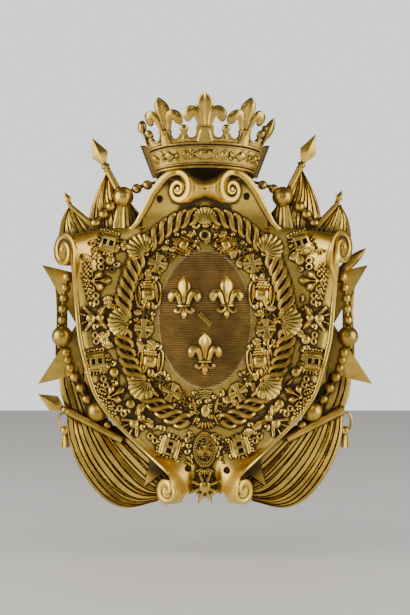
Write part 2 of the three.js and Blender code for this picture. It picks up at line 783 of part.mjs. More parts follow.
// The turned spool on which the two upper scrolls are rolled
function spool() {
  const half = [
    [0, -spoolHalfLength], [spoolEndRadius, -spoolHalfLength], [spoolShoulderRadius, -spoolShoulderHalf],
    [waistRadius + 2, -waistHalf], [waistRadius, 0],
  ];
  const other = half.slice(0, -1).map(([radius, x]) => [radius, -x]).reverse();
  const profile = half.concat(other).map(([radius, x]) => new THREE.Vector2(radius, x));
  const geometry = new THREE.LatheGeometry(profile, 10);
  geometry.rotateZ(Math.PI / 2);
  geometry.translate(0, -spoolReach, topCentre[1]);
  return solid(geometry);
}

// The winding end of an upper scroll, whose face looks outwards and forwards
function topScroll() {
  const steepness = Math.tan(THREE.MathUtils.degToRad(topTurn));
  const steps = 9;
  return Array.from({ length: steps + 1 }, (_, step) => {
    const share = step / steps;
    const angle = Math.PI / 2 + scrollTurns * 2 * Math.PI * share;
    const size = topSize * (1 - scrollClosing * share);
    const inwards = -Math.cos(angle) * topRadii[0] * size;
    const height = topCentre[1] + Math.sin(angle) * topRadii[1] * size;
    return [topCentre[0] - inwards, height, topReach + steepness * inwards];
  });
}

function cartouche(outline) {
  const forms = [
    slab(offset(outline, -undercut), blockBack, sheetBack + bite),
    slab(outline, sheetBack, sheetFront),
    ...ovalField(), ...knotCollar(), ...outerChain(), ...innerCollar(), spool(),
  ];
  const raised = (course) => course.map(([x, z, rise]) => [x, z, rimFront + rise]);
  [-1, 1].forEach((side, which) => {
    const onSide = (course) => course.map(([x, z, depth]) => [side * x, z, depth]);
    const crest = raised(crestCourse).concat(topScroll());
    forms.push(
      band(onSide(raised(rimCourse)), edgeBand, sheetBack + 1, 10),
      band(onSide(crest), ribbonWidth, sheetFront - bite, 15, ribbonEndWidth),
      band(onSide(raised(strapCourse)), strapWidth, sheetBack, 3),
      scrollDrum(side, earCentres[which], earReach, earRadius, earLength, earTurn, 1),
      scrollDrum(side, mirrored(footCentre, side), footReach, footRadius, footLength, footTurn, -1),
    );
  });
  const screws = [-1, 1].flatMap((side) => [upperScrews, lowerScrews].map((place) => {
    const onSide = mirrored(place, side);
    const [mouth, floor] = [rimFront * 2, sheetFront - screwDepth].map((depth) => at(onSide, depth));
    return bar(mouth, floor, screwHeadRadius, screwHeadRadius, 6);
  }));
  return screws.reduce((body, screw) => body.subtract(screw), join(forms));
}

// A place on the flared half round of the crown: an angle, a height and a distance out of its face
function onCrown(angle, height, out) {
  const radius = crownFootRadius + crownFlare * (height - crownFootHeight) + out;
  const depth = blockBack + radius * crownFlattening * Math.cos(angle);
  return new THREE.Vector3(radius * Math.sin(angle), -depth, height);
}

// A flat form laid on the crown: its x runs round the crown, its z up and its depth out of the face
function bent(form, angle) {
  return reshaped(form, (corner) => {
    const radius = crownFootRadius + crownFlare * (corner.z - crownFootHeight);
    return onCrown(angle + corner.x / radius, corner.z, -corner.y);
  });
}

function crown() {
  const steps = 12;
  const profile = [
    [-crownWall, 0], [crownMoulding, 0], [0, 0.24], [0, 0.76], [crownMoulding, 1], [-crownWall, 1],
  ];
  const forms = [sweep(profile, steps, (out, share, step) => {
    const angle = -Math.PI / 2 + (Math.PI * step) / steps;
    const foot = crownFootHeight + crownArch * Math.cos(angle);
    return onCrown(angle, foot + (crownTopHeight - foot) * share, out);
  })];
  const top = crownTopHeight;
  const root = top - crownRoot;
  const put = (form, degrees) => forms.push(bent(form, THREE.MathUtils.degToRad(degrees)));
  fleuronAngles.forEach((degrees) => {
    const flower = lily([0, top + fleuronLift], fleuronWidth, fleuronHeight, 0, fleuronRise);
    flower.push(leaf([0, top + fleuronLift - fleuronRoot], [0, root], stemWidth, -crownRoot, fleuronRise, 0.7));
    flower.forEach((form) => put(form, degrees));
  });
  [-1, 1].forEach((side, which) => {
    const end = endFleuronAngle * side;
    const tip = [0, top + endFleuronHeights[which]];
    const besideTip = [-side * sideLeaf[0], top + sideLeaf[1]];
    put(leaf([0, root], tip, endFleuronWidth, -crownRoot, fleuronRise, 0.6), end);
    put(leaf([0, root], besideTip, sideLeafWidth, -crownRoot, fleuronRise, 0.7), end);
  });
  pearlAngles.forEach((degrees) => {
    put(leaf([0, top + pearlLift], [0, root], stalkWidth, -crownRoot, 2, 0.8), degrees);
    const centre = onCrown(THREE.MathUtils.degToRad(degrees), top + pearlLift, -2);
    forms.push(ball([centre.x, centre.z], -centre.y, pearlRadius, 6, 4));
  });
  const middle = (crownFootHeight + crownArch / 2 + top) / 2;
  gemAngles.forEach((degrees) => {
    const centre = onCrown(THREE.MathUtils.degToRad(degrees), middle, 0);
    forms.push(ball([centre.x, centre.z], -centre.y, gemRadius, 6, 3));
  });
  lozengeAngles.forEach((degrees) => {
    const [halfWidth, halfHeight] = lozengeHalf;
    put(hull([
      [-halfWidth, middle, -2], [halfWidth, middle, -2],
      [0, middle + halfHeight, -2], [0, middle - halfHeight, -2],
      [-lozengeTop, middle, lozengeRise], [lozengeTop, middle, lozengeRise],
    ]), degrees);
  });
  return join(forms);
}

const shieldOutline = bothSides(shieldHalfOutline);
const gold = { color: 0xb8862f, roughness: 0.38, metalness: 0.9 };

function piece(name, body, finish) {
  const geometry = geometryOf(body);
  geometry.computeVertexNormals();
  const node = new THREE.Mesh(geometry, new THREE.MeshStandardMaterial(finish));
  node.name = name;
  return node;
}

const coatOfArms = new THREE.Group();
coatOfArms.name = 'coat_of_arms';
coatOfArms.add(piece('trophy_ground', trophyGround(shieldOutline), { ...gold, color: 0xa07329 }));
coatOfArms.add(piece('cartouche', cartouche(shieldOutline), gold));
coatOfArms.add(piece('crown', crown(), gold));

export default coatOfArms;
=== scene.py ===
import math
import random
import bpy
import numpy as np
from mathutils.bvhtree import BVHTree
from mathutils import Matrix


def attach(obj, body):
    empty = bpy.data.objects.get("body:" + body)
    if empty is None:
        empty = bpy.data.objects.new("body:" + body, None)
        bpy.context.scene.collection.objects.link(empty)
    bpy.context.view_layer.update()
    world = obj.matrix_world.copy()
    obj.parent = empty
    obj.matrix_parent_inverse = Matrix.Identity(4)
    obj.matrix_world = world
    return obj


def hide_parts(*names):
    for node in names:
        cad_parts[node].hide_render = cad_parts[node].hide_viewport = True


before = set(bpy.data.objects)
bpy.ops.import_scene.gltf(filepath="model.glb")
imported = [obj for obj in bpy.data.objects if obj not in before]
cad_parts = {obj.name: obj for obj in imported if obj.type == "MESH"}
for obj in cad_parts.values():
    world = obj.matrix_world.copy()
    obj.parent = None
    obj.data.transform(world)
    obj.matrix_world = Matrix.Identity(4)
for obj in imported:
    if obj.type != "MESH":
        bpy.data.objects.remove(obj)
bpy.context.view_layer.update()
bpy.ops.object.select_all(action="DESELECT")
print("frame loaded")

# Places are written x, z and depth in millimetres. Depth is how far a surface stands out from the wall.
# A form is an array of such places and a list of faces. Most motifs are modelled once and laid many times.
layers = {"boardFront": 34, "blockBack": 34.4, "sheetBack": 54.4, "sheetFront": 69.4}
bothSides = (-1, 1)


# Modelling helpers

def smooth(t):
    t = np.clip(t, 0, 1)
    return t * t * (3 - 2 * t)


def unit(vectors):
    return vectors / np.maximum(np.linalg.norm(vectors, axis=1), 1e-9)[:, None]


def fullTurn(steps):
    return np.arange(steps) * 2 * math.pi / steps


# Shares from 0 to 1 down a grid and from -1 to 1 across it
def gridShares(rows, cols):
    return np.linspace(0, 1, rows)[:, None], np.linspace(-1, 1, cols)[None, :]


# A smooth line through a few places
def smoothLine(places, steps):
    p = np.asarray(places, float)
    t = np.linspace(0, len(p) - 1 - 1e-9, steps + 1)
    k = t.astype(int)
    f = (t - k)[:, None]
    if len(p) == 2:
        return p[0] * (1 - f) + p[1] * f
    ends = np.vstack([2 * p[0] - p[1], p, 2 * p[-1] - p[-2]])
    a, b, c, d = ends[k], ends[k + 1], ends[k + 2], ends[k + 3]
    return 0.5 * (2 * b + (c - a) * f + (2 * a - 5 * b + 4 * c - d) * f ** 2
                  + (3 * b - a - 3 * c + d) * f ** 3)


# Closed rings of points joined one to the next, closed at both ends
def loft(rings):
    rings = np.asarray(rings, float)
    count, sides = rings.shape[:2]
    last = (count - 1) * sides
    faces = [(i + k, i + n, i + sides + n, i + sides + k)
             for i in range(0, last, sides) for k, n in zip(range(sides), [*range(1, sides), 0])]
    return rings.reshape(-1, 3), faces + [tuple(range(sides)), tuple(range(last + sides - 1, last - 1, -1))]


# A round or squarish bar along a line; wide and high are half sizes and may change along it
def tube(line, wide, high=None, sides=8, square=1.0):
    line = np.asarray(line, float)
    wide = np.broadcast_to(np.asarray(wide, float), (len(line),))[:, None]
    high = wide if high is None else np.broadcast_to(np.asarray(high, float), (len(line),))[:, None]
    run = unit(np.gradient(line, axis=0))
    across = np.cross(run, (0, 0, 1))
    across[np.linalg.norm(across, axis=1) < 1e-3] = (1, 0, 0)
    across = unit(across)
    up = np.cross(across, run)
    angle = fullTurn(sides) + math.pi / sides
    c, s = (np.sign(v) * np.abs(v) ** square for v in (np.cos(angle), np.sin(angle)))
    return loft(line[:, None] + across[:, None] * (wide * c)[..., None] + up[:, None] * (high * s)[..., None])


def gridFaces(rows, cols, start=0, step=1):
    index = start + np.arange(rows * cols).reshape(rows, cols)
    return [(index[i, k], index[i, k + 1], index[i + 1, k + 1], index[i + 1, k])[::step]
            for i in range(rows - 1) for k in range(cols - 1)]


def gridEdge(rows, cols, start=0):
    index = start + np.arange(rows * cols).reshape(rows, cols)
    return [*index[0, :], *index[1:, -1], *index[-1, -2::-1], *index[-2:0:-1, 0]]


# A carved face given as a grid of places, with side walls down to a back
def panel(x, z, d, back):
    front = np.stack(np.broadcast_arrays(x, z, d), -1).reshape(-1, 3)
    edge = gridEdge(*d.shape)
    count, size = len(edge), d.size
    behind = front[edge].copy()
    behind[:, 2] = back
    walls = [(edge[k], size + k, size + (k + 1) % count, edge[(k + 1) % count]) for k in range(count)]
    return np.vstack([front, behind]), gridFaces(*d.shape) + walls + [tuple(range(size, size + count))]


# A carved face with a coarser back of its own, a wall's thickness behind it
def wallPanel(x, z, d, thickness, lowest, coarse=4):
    front = np.stack(np.broadcast_arrays(x, z, d), -1)
    behind = front[::coarse, ::coarse].copy()
    behind[:, :, 2] = np.maximum(behind[:, :, 2] - thickness, lowest)
    faces = gridFaces(*d.shape) + gridFaces(*behind.shape[:2], d.size, -1)
    fine, rough = gridEdge(*d.shape), gridEdge(*behind.shape[:2], d.size)
    for k in range(len(rough)):
        part = [fine[(k * coarse + j) % len(fine)] for j in range(coarse + 1)]
        faces.append((*part[::-1], rough[k], rough[(k + 1) % len(rough)]))
    return np.vstack([front.reshape(-1, 3), behind.reshape(-1, 3)]), faces


# A flat strap along a course: every knot has a place, a normal, a half width and how far it reaches back
def strap(knots, steps, soft=1.5):
    course = smoothLine(knots, steps)
    line, half, back = course[:, :3], course[:, 6:7], course[:, 7:8]
    normal = unit(course[:, 3:6])
    across = unit(np.cross(normal, np.gradient(line, axis=0)))
    section = ((-half, -soft), (soft - half, -0.2), (0, 0.3), (half - soft, -0.2), (half, -soft),
               (half, -back), (-half, -back))
    rings = np.stack([line + across * a + normal * b for a, b in section], 1)
    rings[:, :, 2] = np.maximum(rings[:, :, 2], layers["blockBack"] + 2)
    return loft(rings)


# A place on the turned face of a winding end: a runs over the face, b upwards and c out of it
def onTurned(side, place, end, a, b, c=0):
    sine, cosine = math.sin(math.radians(end["turn"])), math.cos(math.radians(end["turn"]))
    return side * (place[0] - a * cosine + c * sine), place[1] + b, end["reach"] + a * sine + c * cosine


def onFace(form, side, place, end):
    x, z, depth = onTurned(side, place, end, *form[0].T)
    return np.stack([x, z, np.maximum(depth, layers["blockBack"] + 2)], 1), form[1]


# Knots of a winding end, whose sizes are given at every quarter turn
def windingKnots(side, place, end, start, direction, each=3):
    turn = math.radians(end["turn"])
    sizes = np.column_stack([end["radii"], end["halves"], end["backs"]])
    knots = []
    for k, (r, half, back) in enumerate(smoothLine(sizes, (len(sizes) - 1) * each)):
        angle = start + direction * k / each * math.pi / 2
        spot = onTurned(side, place, end, r * math.cos(angle), r * math.sin(angle))
        knots.append((*spot, side * math.sin(turn), 0, math.cos(turn), half, back))
    return knots


def inset(outline, distance):
    area = np.sum(outline[:, 0] * np.roll(outline[:, 1], -1) - np.roll(outline[:, 0], -1) * outline[:, 1])
    run = unit(np.roll(outline, -1, 0) - np.roll(outline, 1, 0))
    return outline + math.copysign(distance, area) * np.stack([-run[:, 1], run[:, 0]], 1)


# A flat plate with a softened front edge
def plate(outline, back, front, bevel=2.0):
    p = np.asarray(outline, float)
    levels = ((p, back), (p, front - bevel), (inset(p, bevel * 0.35), front - bevel * 0.3),
              (inset(p, bevel), front))
    return loft([np.column_stack([flat, np.full(len(flat), d)]) for flat, d in levels])


def mirrorHalf(half):
    return half + [(-x, z) for x, z in reversed(half) if x != 0]


def newObject(name, points, edges, faces):
    mesh = bpy.data.meshes.new(name)
    mesh.from_pydata(points, edges, faces)
    thing = bpy.data.objects.new(name, mesh)
    bpy.context.scene.collection.objects.link(thing)
    bpy.ops.object.select_all(action="DESELECT")
    bpy.context.view_layer.objects.active = thing
    thing.select_set(True)
    return thing


# The mesh of a modelled object as a form; the object itself goes
def takeForm(thing):
    bpy.context.view_layer.update()
    points = np.array([thing.matrix_world @ v.co for v in thing.data.vertices]) * 1000
    faces = [tuple(face.vertices) for face in thing.data.polygons]
    bpy.data.objects.remove(thing)
    return np.stack([points[:, 0], points[:, 2], -points[:, 1]], 1), faces


# A profile of radius and depth spun round the line of sight
def spunForm(profile, steps):
    edges = [(k, k + 1) for k in range(len(profile) - 1)]
    thing = newObject("profile", [(r / 1000, -d / 1000, 0) for r, d in profile], edges, [])
    bpy.ops.object.mode_set(mode="EDIT")
    bpy.ops.mesh.select_all(action="SELECT")
    bpy.ops.mesh.spin(steps=steps, angle=2 * math.pi, center=(0, 0, 0), axis=(0, 1, 0))
    bpy.ops.mesh.select_all(action="SELECT")
    bpy.ops.mesh.remove_doubles(threshold=1e-6)
    bpy.ops.object.mode_set(mode="OBJECT")
    return takeForm(thing)


def ballForm(segments=10, rings=7):
    bpy.ops.mesh.primitive_uv_sphere_add(segments=segments, ring_count=rings, radius=0.001)
    return takeForm(bpy.context.object)


def ringForm(radius, wire, around=16, sides=7):
    bpy.ops.mesh.primitive_torus_add(major_segments=around, minor_segments=sides, major_radius=radius / 1000,
                                     minor_radius=wire / 1000, rotation=(math.pi / 2, 0, 0))
    return takeForm(bpy.context.object)


# A form moved to its place; ground lets it lie on a carved surface, deep scales its depth by itself
def placed(form, x=0, z=0, d=0, size=1, turn=0, wide=1, tall=1, deep=None, flip=False, ground=None):
    points, faces = form
    a = points[:, 0] * size * wide * (-1 if flip else 1)
    b = points[:, 1] * size * tall
    c, s = math.cos(turn), math.sin(turn)
    px, pz = a * c - b * s + x, a * s + b * c + z
    depth = points[:, 2] * (size if deep is None else deep) + d
    if ground:
        depth = depth + ground(px, pz)
    return np.stack([px, pz, depth], 1), faces


def joinForms(forms):
    points, faces, count = [], [], 0
    for formPoints, formFaces in forms:
        points.append(formPoints)
        faces += [tuple(v + count for v in face) for face in formFaces]
        count += len(formPoints)
    return np.vstack(points), faces


def vertexValues(mesh, name):
    values = np.empty(len(mesh.vertices) * 3)
    mesh.vertices.foreach_get(name, values)
    return values.reshape(-1, 3)


# Selects the faces of every closed form whose surface still looks inwards
def pickInsideOut(mesh):
    mesh.calc_loop_triangles()
    count = len(mesh.loop_triangles)
    corners, owners = np.empty(count * 3, np.int32), np.empty(count, np.int32)
    mesh.loop_triangles.foreach_get("vertices", corners)
    mesh.loop_triangles.foreach_get("polygon_index", owners)
    points, corners = vertexValues(mesh, "co"), corners.reshape(-1, 3)
    island = np.arange(len(points))
    before = None
    while before is None or (island != before).any():
        before = island.copy()
        lowest = island[corners].min(axis=1)
        for k in range(3):
            np.minimum.at(island, corners[:, k], lowest)
        island = island[island]
    a, b, c = (points[corners[:, k]] for k in range(3))
    volume = np.bincount(island[corners[:, 0]], (a * np.cross(b, c)).sum(axis=1), len(points))
    insideOut = np.zeros(len(mesh.polygons), bool)
    insideOut[owners] = volume[island[corners[:, 0]]] < 0
    mesh.polygons.foreach_set("select", insideOut)
    return insideOut.any()


# Puts forms together as one finished piece with its place in its mesh
def finishPiece(name, forms, turnEdges=38):
    points, faces = joinForms(forms)
    piece = newObject(name, np.stack([points[:, 0], -points[:, 2], points[:, 1]], 1) / 1000, [], faces)
    bpy.ops.object.mode_set(mode="EDIT")
    bpy.ops.mesh.select_all(action="SELECT")
    bpy.ops.mesh.remove_doubles(threshold=2e-5)
    bpy.ops.mesh.normals_make_consistent(inside=False)
    bpy.ops.mesh.select_mode(type="FACE")
    bpy.ops.mesh.select_all(action="DESELECT")
    bpy.ops.object.mode_set(mode="OBJECT")
    if pickInsideOut(piece.data):
        bpy.ops.object.mode_set(mode="EDIT")
        bpy.ops.mesh.flip_normals()
        bpy.ops.object.mode_set(mode="OBJECT")
    bpy.ops.object.shade_smooth_by_angle(angle=math.radians(turnEdges))
    bpy.ops.object.select_all(action="DESELECT")
    print(name, "finished with", len(piece.data.polygons), "faces")
    return piece


# Drills holes, each given by its place, middle depth and radius
def drilled(form, holes):
    drills = []
    for x, z, depth, radius in holes:
        bpy.ops.mesh.primitive_cylinder_add(
            vertices=20, radius=radius / 1000, depth=0.04, rotation=(math.pi / 2, 0, 0),
            location=(x / 1000, -depth / 1000, z / 1000))
        drills.append(takeForm(bpy.context.object))
    drill = finishPiece("drill", drills)
    whole = finishPiece("whole", [form])
    bpy.context.view_layer.objects.active = whole
    cut = whole.modifiers.new("holes", "BOOLEAN")
    cut.operation = "DIFFERENCE"
    cut.object = drill
    bpy.ops.object.modifier_apply(modifier="holes")
    bpy.data.objects.remove(drill)
    return takeForm(whole)


# Small carved motifs, each modelled once

# A leaf that points up from its root, with grooves beside its spine
def leafForm(length, width, rise, belly=0.45, grooves=1.0, rows=9, cols=9, root=0.18, foot=-3):
    t, u = gridShares(rows, cols)
    bend = math.log(0.5) / math.log(belly)
    half = width / 2 * np.maximum(np.sin(math.pi * t ** bend) ** 0.8, root * (1 - t) ** 0.5)
    crest = np.maximum(1 - u ** 2, 0) ** 0.55
    groove = 0.16 * grooves * (1 + np.cos(3 * math.pi * u)) * np.sin(math.pi * np.clip(t * 1.1, 0, 1))
    d = rise * (crest * (0.5 + 0.5 * np.sin(math.pi * np.clip(t * 0.9 + 0.08, 0, 1))) - groove * 0.8)
    return panel(u * half, t * length, np.maximum(d, foot + 0.5), foot)


# A curl: a tapering bar that winds up at its end
def curlForm(size, wire, direction, turns=0.9, rise=3.0, steps=16):
    t = np.linspace(0, 1, steps + 1)
    angle = direction * turns * 2 * math.pi * t
    radius = size * (1 - 0.72 * t)
    line = np.stack([radius * np.cos(angle) - size, radius * np.sin(angle), rise * (0.6 + 0.4 * t)], 1)
    return tube(line, wire * (0.55 + 0.45 * np.sin(math.pi * np.clip(t * 0.9 + 0.1, 0, 1))), sides=6)


# A ribbed fan that opens upwards from its hinge
def shellForm(radius, rise, ribs, spread, narrow=0.5, rows=8, foot=-3):
    cols = ribs * 4 + 1
    t = np.linspace(0.12, 1, rows)[:, None]
    a = np.linspace(-spread / 2, spread / 2, cols)[None, :]
    wave = 0.5 + 0.5 * np.cos(np.linspace(0, 2 * math.pi * ribs, cols) + math.pi)[None, :]
    reach = radius * t * (0.95 + 0.05 * wave * t) * (1 - narrow * (2 * a / spread) ** 2)
    d = rise * (0.3 + 0.7 * np.sin(math.pi * (0.12 + 0.66 * t))) * (1 - 0.16 * (1 - wave) ** 3)
    return panel(reach * np.sin(a), reach * np.cos(a), d, foot)


ball = ballForm()
fineBall = ballForm(8, 5)
bead = ballForm(20, 13)
link = ringForm(6.4, 2.3)
smallLink = ringForm(5.4, 1.9, 14, 6)
smallLeaf = leafForm(22, 10, 6, rows=7, cols=7)
curls = {side: curlForm(5.5, 2.4, side) for side in bothSides}
smallShell = shellForm(17, 9, 5, 2.2, 0.2, rows=5)


# A fluted disc under a flat cross with flared arms
def medalForms(radius, flutes, rise):
    angle = fullTurn(flutes * 4)
    wave = 0.5 + 0.5 * np.cos(angle * flutes)
    rows = []
    for share, height, cut in ((0.2, 0.6, 0), (0.28, 0.5, 0.1), (0.45, 0.58, 0.3), (0.8, 0.6, 0.4),
                               (0.97, 0.42, 0.4), (1, 0.1, 0), (1, -0.4, 0)):
        reach = radius * share * (1 - 0.06 * (1 - wave) * (share > 0.9))
        d = rise * height * (1 - cut * (1 - wave))
        rows.append(np.stack([reach * np.cos(angle), reach * np.sin(angle), d], 1))
    yield loft(rows)
    arm = plate([(-4.6, 1), (4.6, 1), (8.8, radius * 0.95), (-8.8, radius * 0.95)], 0, rise * 0.95, 1)
    for k in range(4):
        yield placed(arm, turn=k * math.pi / 2)
    yield placed(ball, d=rise * 0.7, size=4.5, deep=3)


# A bar with two square openings, modelled from a grid
def openBarForm(width, height, thick):
    bpy.ops.mesh.primitive_grid_add(x_subdivisions=5, y_subdivisions=3, size=width / 1000,
                                    rotation=(math.pi / 2, 0, 0))
    thing = bpy.context.object
    bpy.ops.object.transform_apply(location=False, rotation=True)
    columns = (-0.5, -0.36, -0.08, 0.08, 0.36, 0.5)
    rows = (-0.5, -0.2, 0.2, 0.5)
    for k, corner in enumerate(thing.data.vertices):
        corner.co = (columns[k % 6] * width / 1000, 0, rows[k // 6] * height / 1000)
    bpy.ops.object.mode_set(mode="EDIT")
    bpy.ops.mesh.select_mode(type="FACE")
    bpy.ops.object.mode_set(mode="OBJECT")
    for face in thing.data.polygons:
        x, _, z = face.center
        face.select = abs(z) < 0.1 * height / 1000 and 0.1 < abs(x) * 1000 / width < 0.3
    bpy.ops.object.mode_set(mode="EDIT")
    bpy.ops.mesh.delete(type="FACE")
    bpy.ops.mesh.select_all(action="SELECT")
    bpy.ops.mesh.extrude_region_move(TRANSFORM_OT_translate={"value": (0, -thick / 1000, 0)})
    bpy.ops.object.mode_set(mode="OBJECT")
    soften = thing.modifiers.new("soften", "BEVEL")
    soften.width = 0.0011
    soften.segments = 2
    soften.limit_method = "ANGLE"
    bpy.ops.object.modifier_apply(modifier="soften")
    return takeForm(thing)


# A plain frame with two openings, ridged crest, fringe and small scrolls
def windowFrameForms(width, height, thick):
    yield openBarForm(width, height, thick)
    for level, half, wire in ((0.5, 0.56, 2.4), (0.66, 0.5, 2.0), (-0.5, 0.56, 2.4), (-0.66, 0.48, 2.0)):
        yield tube([(x * half * width, level * height * (1 + 0.06 * (1 - abs(x))), thick * 0.6)
                    for x in (-1, -0.5, 0, 0.5, 1)], wire, 3, sides=6)
    for k in range(6):
        x = (k - 2.5) * width * 0.19
        yield placed(fineBall, x, height * 0.84 + 1.5 * (k % 2), thick * 0.5, 3.1)
        turn = math.pi + 0.13 * (k - 2.5)
        yield placed(smallLeaf, x, -height * 0.72, thick * 0.3, 0.5, turn, wide=0.8)
    for side in bothSides:
        for k in (-1, 0, 1):
            yield placed(fineBall, side * width * (0.63 - 0.05 * abs(k)), k * 9, thick * 0.4, 3)
            turn = side * (0.3 * k - math.pi / 2)
            yield placed(smallLeaf, side * width * 0.62, k * 9, thick * 0.2, 0.45, turn)
        yield placed(curls[side], side * width * 0.5, height * 0.74, thick * 0.2)
        yield placed(curls[-side], side * width * 0.5, -height * 0.78, thick * 0.2)


# Berries along its outer side and three petals that lie inwards from a knob
def flowerTrophyForms(size, pick):
    for k in range(15):
        x = (k - 7) * size / 6.6
        for level in (0.28, 0.52) if k % 2 else (0.4, 0.64):
            z = size * (level - 0.16 * abs(x / size))
            yield placed(fineBall, x + pick.uniform(-1, 1), z + pick.uniform(-1, 1),
                         pick.uniform(4, 6.5), pick.uniform(3.2, 3.8))
    petal = leafForm(size * 0.72, 21, 15, belly=0.66, grooves=0, rows=10, root=0.3)
    longPetal = leafForm(size * 1.06, 19, 14, belly=0.74, grooves=0.35, rows=12, root=0.25)
    yield placed(longPetal, 0, 0, 3, turn=math.pi)
    for side in bothSides:
        yield placed(petal, side * 4, 2, 3, turn=math.pi + side * 0.66)
        yield placed(smallLeaf, side * 8, 4, 1, 0.9, turn=math.pi + side * 1.5)
    yield placed(ball, 0, 3, 8, 5.4, tall=0.8)


# A round shield and a helm over two crossed pairs of a barrel and a feathered blade
def armsTrophyForms(size):
    feather = leafForm(size * 1.08, 17, 11, belly=0.55, rows=12, cols=13, root=0.6)
    for side in bothSides:
        turn = side * 0.82
        sine, cosine = math.sin(turn), math.cos(turn)
        barrel = [(-sine * size * s, cosine * size * s, 6) for s in (0.1, 0.5, 0.86, 0.98)]
        yield tube(barrel, (4.6, 4.2, 3.6, 4.8), sides=9)
        yield placed(feather, sine * size * 0.1, -cosine * size * 0.1, 3, turn=math.pi - turn * 1.1)
        yield placed(smallLeaf, side * 7, 20, 3, 0.9, turn=-side * 0.35)
        yield placed(curls[side], side * 27, 2, 3, 1.3, turn=side * 0.5)
    yield placed(spunForm([(11, 2), (10, 11), (7.5, 12.5), (5.5, 11.5), (3, 13), (0, 13)], 18), 0, 10, 0)
    yield placed(ball, 0, -13, 7, 10.5)


# A smooth squarish cushion between tall leaves, with knobs above and a tapering foot
def plaqueForms():
    angle = fullTurn(24)
    squarish = (np.abs(np.cos(angle)) ** 4 + np.abs(np.sin(angle)) ** 4) ** -0.25
    x, z = 16.5 * squarish * np.cos(angle), 14.5 * squarish * np.sin(angle)
    yield loft([np.column_stack([x * share, z * share - 4, np.full(24, d)])
                for share, d in ((1, -2), (1, 6), (0.94, 9), (0.8, 11), (0.4, 13), (0.1, 13.4))])
    for level, count, grow in ((14, 5, 3.4), (20, 4, 3.6), (26.5, 3, 3.4), (32.5, 2, 3.2), (37.5, 1, 3)):
        for k in range(count):
            yield placed(fineBall, (k - (count - 1) / 2) * 6.6, level, 6, grow)
    tallLeaf = leafForm(46, 12, 10, belly=0.5, grooves=0.3)
    bracket = ((23, 27, 3), (29, 16, 4.5), (29.5, -10, 4.5), (24, -30, 4), (10, -38, 3.5))
    for side in bothSides:
        yield placed(tallLeaf, side * 21, -25, 2.5, turn=side * 0.02)
        yield tube(smoothLine([(side * x, z, d) for x, z, d in bracket], 12), 2, 2.6, sides=6)
        for x, z, turn in ((15, 28, 1.2), (12, -27, -1.2)):
            yield placed(curls[side], side * x, z, 3, 1.2, turn=side * turn)
        yield placed(smallLeaf, side * 6, -20, 4, 0.9, turn=math.pi + side * 0.5)
        yield placed(fineBall, side * 18, -31, 4, 2.8)
    yield placed(smallLeaf, 0, -18, 5, 1.05, turn=math.pi, wide=1.2)


# A petal from a list of heights and half widths, with three ridges
def petalForm(outline, rise, foot=-4, rows=18, cols=13):
    levels, halves = zip(*outline)
    z = np.linspace(levels[0], levels[-1], rows)[:, None]
    half = np.interp(z, levels, halves)
    u = np.linspace(-1, 1, cols)[None, :]
    ridges = 0.76 * np.maximum(1 - u ** 2, 0) ** 0.45 + 0.24 * np.exp(-(u / 0.14) ** 2)
    return panel(u * half, z, rise * ridges * (0.55 + 0.45 * np.minimum(half / max(halves), 1)), foot)


lilyShape = {
    "petal": [(-2, 7), (10, 7.6), (20, 8.6), (29, 11), (38, 15), (47, 18.6), (56, 19.6), (65, 17),
        (72, 11), (78, 4), (81, 0.6)],
    "lobe": ((6.5, 0, 4, 4.6), (10.6, 6, 5, 5.2), (13.8, 16, 6, 6.2), (17.2, 26.5, 7, 8),
        (23.5, 33.5, 7, 10.2), (31.5, 34, 7, 11.4), (37, 26.5, 7, 11.6), (36, 18, 6, 9.6),
        (33, 13, 5, 5.6)),
    "footCurl": ((4, -3, 4, 3), (8, -12, 6, 4), (16, -17, 6, 5), (24, -13, 5, 5.5), (22, -7, 4, 3.5)),
    "foot": [(-38, 0.6), (-33, 5), (-26, 9), (-18, 8.4), (-8, 6), (0, 6)],
    "tie": ((-16, 0, 7), (0, 0, 10), (16, 0, 7)),
}


# Lily: petal, two curled lobes, tie and foot; its tie is at the origin and its tip 81 above it
def lilyForms(foot=True, thick=1.0, lift=0, stout=1.0):
    yield petalForm(lilyShape["petal"], 12 * thick)
    for side in bothSides:
        course = smoothLine([(side * x, z + lift * smooth(x / 24), d * thick,
                              half * (1 + (stout - 1) * smooth(x / 24)))
                             for x, z, d, half in lilyShape["lobe"]], 26)
        yield tube(course[:, :3], course[:, 3], course[:, 3] * 0.85 * thick, sides=9)
        if foot:
            curl = smoothLine([(side * x, z, d, half) for x, z, d, half in lilyShape["footCurl"]], 12)
            yield tube(curl[:, :3], curl[:, 3], sides=7)
    if foot:
        yield petalForm(lilyShape["foot"], 10 * thick, rows=10, cols=9)
    tie = smoothLine([(x, z, d * thick) for x, z, d in lilyShape["tie"]], 6)
    yield tube(tie, 3.2, 5, sides=8, square=0.6)


lily = joinForms(lilyForms())
print("motifs modelled")

# The shield's curved sheet

